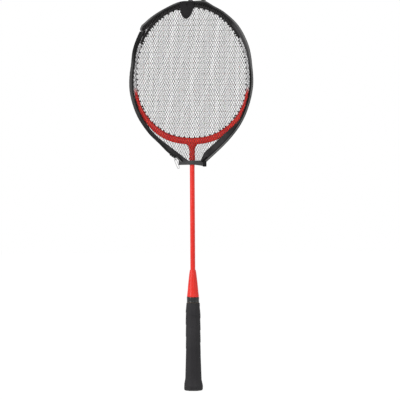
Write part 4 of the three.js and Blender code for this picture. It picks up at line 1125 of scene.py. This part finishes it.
# %% Widen the tape over the crown
CROWN_FROM, CROWN_FULL, MOST_EXTRA = 545, 596, 7
LAP, ZIP_LAP, LAP_FROM, LAP_FULL = 2.2, 0.8, 636, 656
hoop_edge = np.array([hoop_place(run, wall_at(run), 0) for run in
                      (2 * HALF_RUN * i / 360 for i in range(360))])[:, [0, 2]]
nearest = np.array([np.linalg.norm(hoop_edge - place, axis=1).min() for place in seam])
over_crown = np.array([smoothstep(place[1], CROWN_FROM, CROWN_FULL) for place in seam])
lap = np.array([ZIP_LAP + (LAP - ZIP_LAP) * smoothstep(z, LAP_FROM, LAP_FULL) if x < 0 else LAP
                for x, z in seam])
extra_width = np.clip(nearest - BINDING_WIDTH + lap, 0, MOST_EXTRA) * over_crown
extra_width = np.convolve(np.pad(extra_width, 4, mode="edge"), np.ones(9) / 9, "valid")
print("the tape is wider by up to", round(float(extra_width.max()), 1), "mm")

# %% Bind the edges
PUCKER, PUCKER_SINK = 0.07, 0.05


def bind_edge(name, side):
    rows = []
    for i, place in enumerate(seam):
        row, across, last = [], 0, None
        for k, (plain, zip_edge) in enumerate(zip(PLAIN_EDGE, ZIPPED_EDGE)):
            out, y, light = (p + (q - p) * zipped[i] for p, q in zip(plain, zip_edge))
            out -= extra_width[i] * smoothstep(-out, 3.0, 6.0)
            across += math.dist((out, y), last or (out, y))
            last = out, y
            if 3 <= k <= 10:
                y += PUCKER * pucker(seam_run[i], side + k * 0.35) - PUCKER_SINK
            x, z = place + seam_out[i] * out
            if i in (0, len(seam) - 1):
                way = ahead[0] if i == 0 else -ahead[-1]
                x, z = np.array([x, z]) - way * (z - UNDER_HEM) / way[1]
            row.append((x, side * squeeze(y, x, z), z, seam_run[i], across, light))
        rows.append(row)
    return lofted(name, binding_cloth, rows, smooth=60)


settle_on_fold(bind_edge("seam_band_front", -1), "binding_cloth", "binding_front", "binding_flap")
settle(bind_edge("seam_band_back", 1), "racket", "binding_cloth", "binding_back")

# %% Stitch the bindings
STITCH, STITCH_GAP, STITCH_START, STITCH_STOP = 2.3, 0.9, 12.0, 8
STITCH_INSET, STITCH_TOP, STITCH_SINK, STITCH_RADIUS = 5.0, 6.2, 0.18, 0.16


def stitches(name, side):
    skin = Skin()
    run = STITCH_START
    while run + STITCH < seam_run[-1] - STITCH_STOP:
        route = []
        for t, sunk in ((0.0, STITCH_SINK), (0.25, 0), (0.75, 0), (1.0, STITCH_SINK)):
            x, z = seam_spot(run + STITCH * t, -STITCH_INSET)
            route.append((x, side * squeeze(STITCH_TOP - sunk, x, z), z))
        tube(skin, route, STITCH_RADIUS, 5)
        run += STITCH + STITCH_GAP
    return skin.piece(name, stitch_thread)


settle_on_fold(stitches("stitches_front", -1), "binding_cloth")
settle(stitches("stitches_back", 1), "racket", "binding_cloth")

# %% [markdown]
# ## Nets
#
# The net is knitted of thin nylon thread in tall diamonds. Two sets of slanting threads
# cross at the knots. A piece of real thread for every diamond side keeps the net see-
# through with true thickness, so each set is drawn as thin tubes that swell at the knots.
# The two panels were cut and pulled a little askew, each its own way, so their diamonds
# lean differently. Seen through each other they make the long slanting shimmer that such
# covers have. The slack wanders slowly across a panel, and no knot is quite in its place.

# %% Set out the diamonds
NET_SIDES = {"front": ((2.195, 3.638), (-1.908, 4.040)), "back": ((2.234, 4.039), (-1.839, 3.463))}
NET_UNDER = 1.3
THREAD_RADIUS = {"front": 0.325, "back": 0.25}
KNOT_MORE, SLACK, KNOT_SLIP = 0.07, 0.3, 0.05


def room_outline(inset, floor):
    """The room inside the bindings, down to the mouth."""
    line = [place - way * inset for place, way in zip(seam, seam_out)]
    line = [line[0] - ahead[0] * 30, *line, line[-1] + ahead[-1] * 30]
    kept = []
    for here, after in zip(line, line[1:] + line[:1]):
        if here[1] >= floor:
            kept.append(here)
        if (here[1] >= floor) != (after[1] >= floor):
            share = (floor - here[1]) / (after[1] - here[1])
            kept.append(here + (after - here) * share)
    return np.array(kept)


def inside(outline, places):
    """For each place, whether it lies in the outline."""
    x, z = places[:, 0][:, None], places[:, 1][:, None]
    ax, az = outline[:, 0], outline[:, 1]
    bx, bz = np.roll(ax, -1), np.roll(az, -1)
    level = (az > z) != (bz > z)
    with np.errstate(divide="ignore", invalid="ignore"):
        cross = ax + (z - az) / (bz - az) * (bx - ax)
    return (level & (x < cross)).sum(1) % 2 == 1


LEFT_WEDGE = [seam_share_place(s) for s in ((-0.572, -0.723), (-0.075, -1.0))]
RIGHT_WEDGE = [seam_share_place(s) for s in ((0.595, -0.657), (0.191, -0.918), (0.141, -1.0))]


def in_wedge(places, corners, side):
    """Whether places lie in a wedge, further from its edge than the net reaches under."""
    held = np.ones(len(places), bool)
    for a, b in zip(corners, corners[1:]):
        way = unit(b - a)
        into = side * ((places[:, 0] - a[0]) * way[1] - (places[:, 1] - a[1]) * way[0])
        held &= into > NET_UNDER
    return held


net_room = room_outline(BINDING_WIDTH - NET_UNDER, MOUTH_HEIGHT - 2)


def net_here(places):
    covered = in_wedge(places, LEFT_WEDGE, 1) | in_wedge(places, RIGHT_WEDGE, -1)
    return inside(net_room, places) & ~covered


grid = np.stack(np.meshgrid(np.arange(-110, 110, 1.0), np.arange(390, 680, 1.0)), -1).reshape(-1, 2)
net_area = int(net_here(grid).sum())
print("each net covers", round(net_area / 100), "square cm")

# %% Let the knots wander
KNOT_WAVES = ((12.9898, 78.233, 43758.5453), (39.3468, 11.135, 24634.6345))
NET_LINES, NET_REACH, NET_HEIGHT, NET_RISE = 90, 112, 532, 146
SAG, THREADS_APART = 0.16, 0.07
# Share of a diamond's side, share of the thread's radius there, and what a knot adds.
THREAD = ((0.0, 1, KNOT_MORE), (0.2, 1, 0), (0.5, 0.92, 0), (0.8, 1, 0))


def knot_shift(i, j):
    """Small shift of a knot from its even place, the same for both threads."""
    waves = [math.sin(i * a + j * b) * c for a, b, c in KNOT_WAVES]
    return np.array([wave - math.floor(wave) - 0.5 for wave in waves])


def slack(x, z, seed):
    """A slow wander of the net in its own plane."""
    return SLACK * np.array([math.sin(z * 0.041 + seed) * math.sin(x * 0.023 + 2 * seed),
                             math.sin(x * 0.037 + 3 * seed) * math.sin(z * 0.019 + seed)])


def thread_knots(family, line, sides, seed):
    """Places of the knots on one slanting thread, where a panel may reach."""
    steps = np.arange(-NET_LINES, NET_LINES + 1)
    fixed = np.full_like(steps, line)
    i, j = (steps, fixed) if family == 1 else (fixed, steps)
    knots = np.outer(i, sides[0]) + np.outer(j, sides[1]) + [0, HOOP_MIDDLE]
    near = (np.abs(knots[:, 0]) < NET_REACH) & (np.abs(knots[:, 1] - NET_HEIGHT) < NET_RISE)
    return [knot + (KNOT_SLIP * knot_shift(a, b) + slack(*knot, seed))
            for a, b, knot in zip(i[near], j[near], knots[near])]


def stretches(kept):
    """Start and end of each unbroken stretch of kept marks."""
    edges = np.flatnonzero(np.diff(np.concatenate([[0], kept.astype(int), [0]])))
    return zip(edges[::2], edges[1::2])


print(2 * NET_LINES + 1, "threads each way, before they are cut to the panel")

# %% Knit the nets
def knit(where, side, seed):
    skin, total = Skin(), 0.0
    sides, thin = np.array(NET_SIDES[where]), THREAD_RADIUS[where]
    for family, going in ((1, sides[0]), (-1, sides[1])):
        length = float(np.linalg.norm(going))
        flat = np.array([going[1], 0, -going[0]]) / length
        spokes = [math.cos(t) * flat + math.sin(t) * np.array([0, 1, 0])
                  for t in (math.pi * quarter / 4 for quarter in (1, 3, 5, 7))]
        for line in range(-NET_LINES, NET_LINES + 1):
            knots = thread_knots(family, line, sides, seed)
            if len(knots) < 2:
                continue
            marks = np.array([a + (b - a) * t for a, b in zip(knots, knots[1:]) for t, *_ in THREAD])
            radii = [thin * share + more for _ in knots[1:] for _, share, more in THREAD]
            for start, stop in stretches(net_here(marks)):
                rows = []
                for k in range(start, stop):
                    x, z = marks[k]
                    sag = SAG * math.sin(x * 0.071 + seed) * math.sin(z * 0.053 + 2 * seed)
                    depth = face_depth(x, z) + sag + THREADS_APART * family
                    middle = np.array([x, side * depth, z])
                    rows.append([(*(middle + radii[k] * spoke), k * length / 4, n * 0.4, 0)
                                 for n, spoke in enumerate(spokes)])
                if len(rows) > 2:
                    skin.loft(rows, caps=False)
                    total += len(rows) * length / 4
    print("net thread", round(total / 1000, 1), "m")
    return skin.piece(f"net_{where}", net_thread, smooth=70)


net_front = settle_on_fold(knit("front", -1, 0.4), "net", "cover_net_front", "cover_net_flap")
net_back = settle(knit("back", 1, 1.9), "racket", "net", "cover_net_back")

# %% [markdown]
# ## Wedges beside the mouth
#
# Black ribbed cloth fills the corners beside the mouth, where the zip and the seam need
# a firm ground. Its ribs run along the seam. Each wedge is laid in rows from its inner
# edge to the binding, so the ribs follow by themselves.

# %% Cut the wedges
WEDGE_ROWS, WEDGE_COLUMNS = 44, 12
WEDGE_OVER, WEDGE_UNDER, POINT_SHARE = 0.36, -0.3, 0.98
WEDGE_TUCK, WEDGE_FLOOR, WEDGE_FOOT = 1.6, UNDER_HEM + 0.5, UNDER_HEM + 0.6
wedge_room = room_outline(BINDING_WIDTH - WEDGE_TUCK, WEDGE_FLOOR)


def reach_edge(place, way):
    """How far it is from a place to the edge of the wedges' room, in one direction."""
    hits = []
    for a, b in zip(wedge_room, np.roll(wedge_room, -1, 0)):
        along = b - a
        den = way[0] * along[1] - way[1] * along[0]
        if abs(den) < 1e-9:
            continue
        gap_x, gap_z = a - place
        far = (gap_x * along[1] - gap_z * along[0]) / den
        share = (gap_x * way[1] - gap_z * way[0]) / den
        if far > 0 and -1e-6 <= share <= 1 + 1e-6:
            hits.append(far)
    return min(hits, default=0.0)


def wedge_piece(name, corners, side, face):
    first, last = unit(corners[0] - corners[1]), corners[-1] - corners[-2]
    point = corners[0] + first * POINT_SHARE * reach_edge(corners[0], first)
    tucked = corners[-1] + last * (WEDGE_FOOT - corners[-1][1]) / last[1]
    corners = np.array([point, *corners[:-1], tucked])
    runs = run_along(corners)
    chord = unit(corners[-1] - corners[1])
    way = side * np.array([chord[1], -chord[0]])
    rows = []
    for i in range(WEDGE_ROWS + 1):
        run = runs[-1] * i / WEDGE_ROWS
        start = at_run(run, runs, corners)
        far = reach_edge(start, way)
        over, under = [], []
        for share in (k / WEDGE_COLUMNS for k in range(WEDGE_COLUMNS + 1)):
            x, z = start + way * far * share
            for layer, level in ((over, WEDGE_OVER), (under, WEDGE_UNDER)):
                layer.append((x, face * (face_depth(x, z) + level), z, run, far * (1 - share), 0))
        rows.append(over + under[::-1])
    return lofted(name, wedge_cloth, rows)


for name, corners, side in (("left", LEFT_WEDGE, 1), ("right", RIGHT_WEDGE, -1)):
    for where, face in (("front", -1), ("back", 1)):
        body = "flap" if (name, where) == ("left", "front") else "racket"
        settle(wedge_piece(f"mouth_cloth_{where}_{name}", corners, side, face), body,
               "black_cloth", f"cover_wedge_{where}_{name}")

# %% [markdown]
# ## Hem, tab, tongue and loop
#
# The mouth is edged with grey webbing, a band in front of the shaft and one behind it. A
# folded tab holds both at the right. A black tongue is sewn over the crown, with a slit
# in it, and the webbing loop to hang the cover stands on top.

# %% Hem the mouth
HEM_THICKNESS, HEM_DROP, LEFT_BOW, RIGHT_BOW, HEM_STEPS = 1.4, 1.0, 0.4, 3.3, 60
HEM_START, HEM_END = -MOUTH_HALF - 0.9, MOUTH_HALF - TAB_ROOM - 1.1 * FIT
HEM_SECTION = [(-0.5, 0.04), (-0.42, 0.0), (0.42, 0.0), (0.5, 0.04), (0.5, 0.2), (0.42, 0.27),
               (0.5, 0.36), (0.44, 0.5), (0.5, 0.64), (0.42, 0.73), (0.5, 0.8), (0.5, 0.96),
               (0.42, 1.0), (-0.42, 1.0), (-0.5, 0.96), (-0.5, 0.5)]


def hem_band(name, side):
    rows = []
    high = MOUTH_HEIGHT - HEM_DROP
    for i in range(HEM_STEPS + 1):
        x = HEM_START + (HEM_END - HEM_START) * i / HEM_STEPS
        bow = min(abs(x) / MOUTH_HALF, 1) ** 1.7 * (RIGHT_BOW if x > 0 else LEFT_BOW)
        tall = HEM_TALL + bow
        rows.append([(x, side * (hem_depth(x) + a * HEM_THICKNESS), high + tall * (b - 1),
                      x, b * HEM_TALL, 0) for a, b in HEM_SECTION])
    return lofted(name, hem_webbing, rows, smooth=50)


settle(hem_band("hem_band_front", -1), "flap", "grey_webbing", "hem_flap")
settle(hem_band("hem_band_back", 1), "racket", "grey_webbing", "hem_back")

# %% Tab at the corner
TAB_X, TAB_Z, TAB_HALF_X, TAB_HALF_Y, TAB_HALF_Z = 21.5, 391, 3.2, 3.6, 5.6
TAB_POWER, TAB_LEVELS, TAB_SIDES = 14, 12, 28
tab_rows = []
for i in range(TAB_LEVELS + 1):
    up = -math.cos(math.pi * i / TAB_LEVELS)
    size = max(max(1 - abs(up) ** TAB_POWER, 0) ** (1 / TAB_POWER), 0.25)
    z = TAB_Z + TAB_HALF_Z * up
    ring = [soft_ring(turn, TAB_POWER) for turn in turns(TAB_SIDES)]
    tab_rows.append([(TAB_X + TAB_HALF_X * size * a, TAB_HALF_Y * size * b, z, z, k * 0.6, 0)
                     for k, (a, b) in enumerate(ring)])
settle(lofted("corner_tab", tab_cloth, tab_rows, smooth=60), "racket", "black_cloth", "mouth_tab")

# %% Tongue over the crown
TONGUE_TOP, TONGUE_LENGTH, TONGUE_HALF, TONGUE_X = 669.4, 29.6, 12.3, -7.2
TONGUE_SLANT, TONGUE_FRONT, TONGUE_BACK, EDGE_DROP = 0.065, -8.0, -6.7, 0.35
SLIT_TOP, SLIT_FOOT, SLIT_COLUMN = 3.0, 9.9, 4
drops = [0, 0.4, 1.5, 2.9, 3.0, 5, 7, 9.9, 10.0, 12, 15, 18, 20, 22, 24, 25.5, 26.7, 27.6, 28.3, 28.8,
         29.2, 29.45, 29.6]
shares = [-1, -0.96, -0.8, -0.5, -0.07, 0.07, 0.5, 0.8, 0.96, 1]


def tongue_half(drop):
    """Half of the tongue's width, some way down from its top."""
    return TONGUE_HALF * max(1 - (drop / TONGUE_LENGTH) ** 2.8, 0) ** 0.62 + 0.05


tongue = Skin()
front_rows, back_rows = [], []
for drop in drops:
    half, middle, z = tongue_half(drop), TONGUE_X - TONGUE_SLANT * drop, TONGUE_TOP - drop
    xs = [middle + share * (half if abs(share) > 0.1 else min(half, 8.6)) for share in shares]
    sinks = [EDGE_DROP if abs(share) > 0.95 or drop in (0, TONGUE_LENGTH) else 0.0 for share in shares]
    front_rows.append(tongue.row([(x, TONGUE_FRONT + sink, z, drop, x, 0) for x, sink in zip(xs, sinks)]))
    back_rows.append(tongue.row([(x, TONGUE_BACK, z, drop, x, 0) for x in xs]))
down, over = range(len(drops) - 1), range(len(shares) - 1)
slit = range(drops.index(SLIT_TOP), drops.index(SLIT_FOOT))
for r in down:
    for k in over:
        if k != SLIT_COLUMN or r not in slit:
            tongue.faces += [(rows[r][k], rows[r + 1][k], rows[r + 1][k + 1], rows[r][k + 1])
                             for rows in (front_rows, back_rows)]
walls = [(r, k, r + 1, k) for r in down for k in (0, len(over))]
walls += [(r, k, r + 1, k) for r in slit for k in (SLIT_COLUMN, SLIT_COLUMN + 1)]
walls += [(r, k, r, k + 1) for r in (0, len(down)) for k in over]
walls += [(r, SLIT_COLUMN, r, SLIT_COLUMN + 1) for r in (slit.start, slit.stop)]
tongue.faces += [(front_rows[r][k], front_rows[s][n], back_rows[s][n], back_rows[r][k])
                 for r, k, s, n in walls]
settle(tongue.piece("crown_flap", tongue_cloth, smooth=45), "racket", "black_cloth", "crown_tongue")

# %% Webbing loop
LOOP_FOOT, LOOP_MIDDLE, LOOP_HALF, LOOP_HEIGHT = 671.3, 10.0, 11.25, 22
WEBBING, WEBBING_THICKNESS = 8.0, 1.4
WEBBING_SIDE = [(-0.5, -0.35), (-0.5, 0.35), (-0.46, 0.5), (-0.38, 0.5), (-0.33, 0.4), (0, 0.4),
                (0.33, 0.4), (0.38, 0.5), (0.46, 0.5)]
webbing_section = WEBBING_SIDE + [(-a, -b) for a, b in WEBBING_SIDE]
loop_turn = LOOP_FOOT + LOOP_HEIGHT - LOOP_HALF - WEBBING / 2
leg = [LOOP_FOOT + (loop_turn - LOOP_FOOT) * i / 4 for i in range(4)]
arch = [(LOOP_MIDDLE + LOOP_HALF * math.cos(t), loop_turn + LOOP_HALF * math.sin(t))
        for t in (math.pi * i / 28 for i in range(29))]
route = np.array([*[(LOOP_MIDDLE + LOOP_HALF, z) for z in leg], *arch,
                  *[(LOOP_MIDDLE - LOOP_HALF, z) for z in leg[::-1]]])
loop_rows = [[(x + gz * a * WEBBING, b * WEBBING_THICKNESS, z - gx * a * WEBBING, run, a * WEBBING, 0)
              for a, b in webbing_section]
             for (x, z), (gx, gz), run in zip(route, unit(np.gradient(route, axis=0)), run_along(route))]
settle(lofted("webbing_loop", loop_webbing, loop_rows, smooth=50), "racket", "grey_webbing",
       "hanging_loop")

# %% [markdown]
# ## Zip
#
# The zip has a cloth tape sewn to each binding, a row of moulded teeth on each tape, end
# stops of metal and a slider. The teeth of the two rows stand in each other's gaps, as
# they do when a zip is shut. The slider's two plates hold the rows between them, and its
# long wire pull hangs from an eye.

# %% Tapes and teeth
TEETH_PITCH, TEETH_INSET, TAPE_STEPS = 1.6, 0.6, 120
ZIP_LENGTH = (ZIP_LOW - ZIP_HIGH) * SEAM_RADIUS
TAPE_SECTION = [(-1.2, 2.02), (-0.65, 2.02), (-0.5, 2.6), (-0.35, 3.4), (0.1, 3.75), (0.65, 4.2),
                (0.85, 4.8), (0.7, 5.4), (0.2, 5.95), (-0.6, 6.35), (-1.6, 6.5), (-2.7, 6.5),
                (-3.5, 6.44), (-3.65, 6.3), (-2.6, 6.24), (-1.9, 5.9), (-1.5, 5.4), (-1.4, 4.9),
                (-1.3, 4.2), (-1.2, 3.4)]
# Depth, half size along the zip and half size out of it, of each ring of a tooth.
TOOTH_LEVELS = ((0.2, 0.2, 0.3), (0.32, 0.38, 0.5), (0.8, 0.42, 0.56), (1.0, 0.34, 0.5),
                (1.65, 0.36, 0.52), (1.75, 0.3, 0.45))
TOOTH_RING = ((-1, -0.6), (-0.6, -1), (0.6, -1), (1, -0.6), (1, 0.6), (0.6, 1), (-0.6, 1), (-1, 0.6))


def zip_angle(run):
    return ZIP_LOW - run / SEAM_RADIUS


def zip_tape(name, side):
    rows = []
    for i in range(TAPE_STEPS + 1):
        run, row = ZIP_LENGTH * i / TAPE_STEPS, []
        for k, (out, y) in enumerate(TAPE_SECTION):
            x, z = zip_place(zip_angle(run), out * (1 + 0.12 * pucker(run, k * 0.3) * (out > -0.4)))
            row.append((x, side * squeeze(y, x, z), z, run, 0.6 * k, 0))
        rows.append(row)
    return lofted(name, zip_cloth, rows, smooth=60)


def zip_teeth(name, side):
    skin = Skin()
    for n in range(int(ZIP_LENGTH / TEETH_PITCH) - 1):
        run = TEETH_PITCH * (n + (0.6 if side < 0 else 1.1))
        rows = []
        for y, half, tall in TOOTH_LEVELS:
            ring = [zip_place(zip_angle(run + a * half), b * tall - TEETH_INSET) for a, b in TOOTH_RING]
            rows.append([(x, side * y, z) for x, z in ring])
        skin.loft(rows)
    return skin.piece(name, teeth_black, smooth=50)


def stop_block(name, run, half_y, middle_y):
    rows = []
    for share, size in ((-1, 0.8), (-0.8, 1), (0.8, 1), (1, 0.8)):
        ring = [arc_point(zip_angle(run + 0.8 * size * a), 0.6 * size * b - TEETH_INSET)
                for a, b in (soft_ring(turn, 4) for turn in turns(16))]
        rows.append([(x, middle_y + half_y * share, z) for x, z in ring])
    return lofted(name, zip_plate, rows, smooth=50)


for where, body, side in (("flap", "flap", -1), ("back", "racket", 1)):
    settle(zip_tape(f"zip_cloth_{where}", side), body, "zip_tape", f"zip_tape_{where}")
    settle(zip_teeth(f"zip_links_{where}", side), body, "zip_teeth", f"zip_teeth_{where}")
    settle(stop_block(f"foot_stop_{where}", -FIT - 0.8, 0.5, side * 1.2), body, "zip_metal",
           f"zip_stop_{where}")
settle(stop_block("head_stop", ZIP_LENGTH + 2 * FIT + 0.8, 1.7, 0), "racket", "zip_metal",
       "zip_end_stop")

# %% Slider
SLIDER_HALF_DEPTH, SLIDER_WAIST = 3.4, 0.13
# From the seam outwards: the two plates, and the post that joins them.
UPPER_PLATE, LOWER_PLATE, POST = (0.8, 1.8), (-3.0, -2.0), (-2.4, 1.2)
POST_PLACE, POST_HALF, POST_HALF_DEPTH = -4.0, 1.5, 0.35
EYE_OUT, EYE_BEYOND, EYE_RADIUS, EYE_WIRE, EYE_SIDES = 2.2, 1.5, 1.7, 0.5, 24
PULL_LEAN = math.radians(22)
pull_down = np.array([math.sin(PULL_LEAN), -math.cos(PULL_LEAN)])
pull_across = np.array([math.cos(PULL_LEAN), math.sin(PULL_LEAN)])


def slider_spot(out, along):
    x, z = arc_point(ZIP_REST, out)
    return np.array([x + math.sin(ZIP_REST) * along, z - math.cos(ZIP_REST) * along])


def slider_plate(skin, low, high):
    """A plate of the slider: waisted, with rounded ends and soft edges."""
    rows = []
    for out, size in ((low, 0.94), (low + 0.18, 1.0), (high - 0.25, 1.0), (high - 0.05, 0.93),
                      (high, 0.8)):
        row = []
        for a, b in (soft_ring(turn, 4) for turn in turns(40)):
            waist = 1 - SLIDER_WAIST * math.cos(size * a * math.pi / 2) ** 2
            x, z = slider_spot(out, SLIDER_HALF * size * a)
            row.append((x, SLIDER_HALF_DEPTH * size * waist * b, z))
        rows.append(row)
    skin.loft(rows)


slider = Skin()
slider_plate(slider, *UPPER_PLATE)
slider_plate(slider, *LOWER_PLATE)
post_rows = []
for out in POST:
    ring = [(*slider_spot(out, POST_PLACE + POST_HALF * math.cos(t)), POST_HALF_DEPTH * math.sin(t))
            for t in turns(12)]
    post_rows.append([(x, y, z) for x, z, y in ring])
slider.loft(post_rows)
eye = slider_spot(EYE_OUT, SLIDER_HALF + EYE_BEYOND)
eye_ring = [(eye[0] - pull_down[0] * EYE_RADIUS * math.cos(t), EYE_RADIUS * math.sin(t),
             eye[1] - pull_down[1] * EYE_RADIUS * math.cos(t)) for t in turns(EYE_SIDES)]
tube(slider, eye_ring, EYE_WIRE, 10, closed=True)
settle(slider.piece("slider_body", slider_black, smooth=50), "slider", "slider_enamel", "zip_slider")

# %% Wire pull
PULL_LENGTH, PULL_RADIUS, PULL_WIRE, BEND_STEPS = 17, 1.8, 0.5, 16
pull_route = []
for end, drop in ((0, PULL_RADIUS), (1, PULL_LENGTH - PULL_RADIUS)):
    for turn in (math.pi * (k / BEND_STEPS + end) for k in range(BEND_STEPS + 1)):
        x, z = (eye + pull_across * PULL_RADIUS * math.cos(turn)
                + pull_down * (drop - PULL_RADIUS * math.sin(turn)))
        pull_route.append((x, 0, z))
pull = Skin()
tube(pull, pull_route, PULL_WIRE, 12, closed=True)
settle(pull.piece("wire_pull", zip_plate, smooth=60), "puller", "zip_metal", "zip_puller")
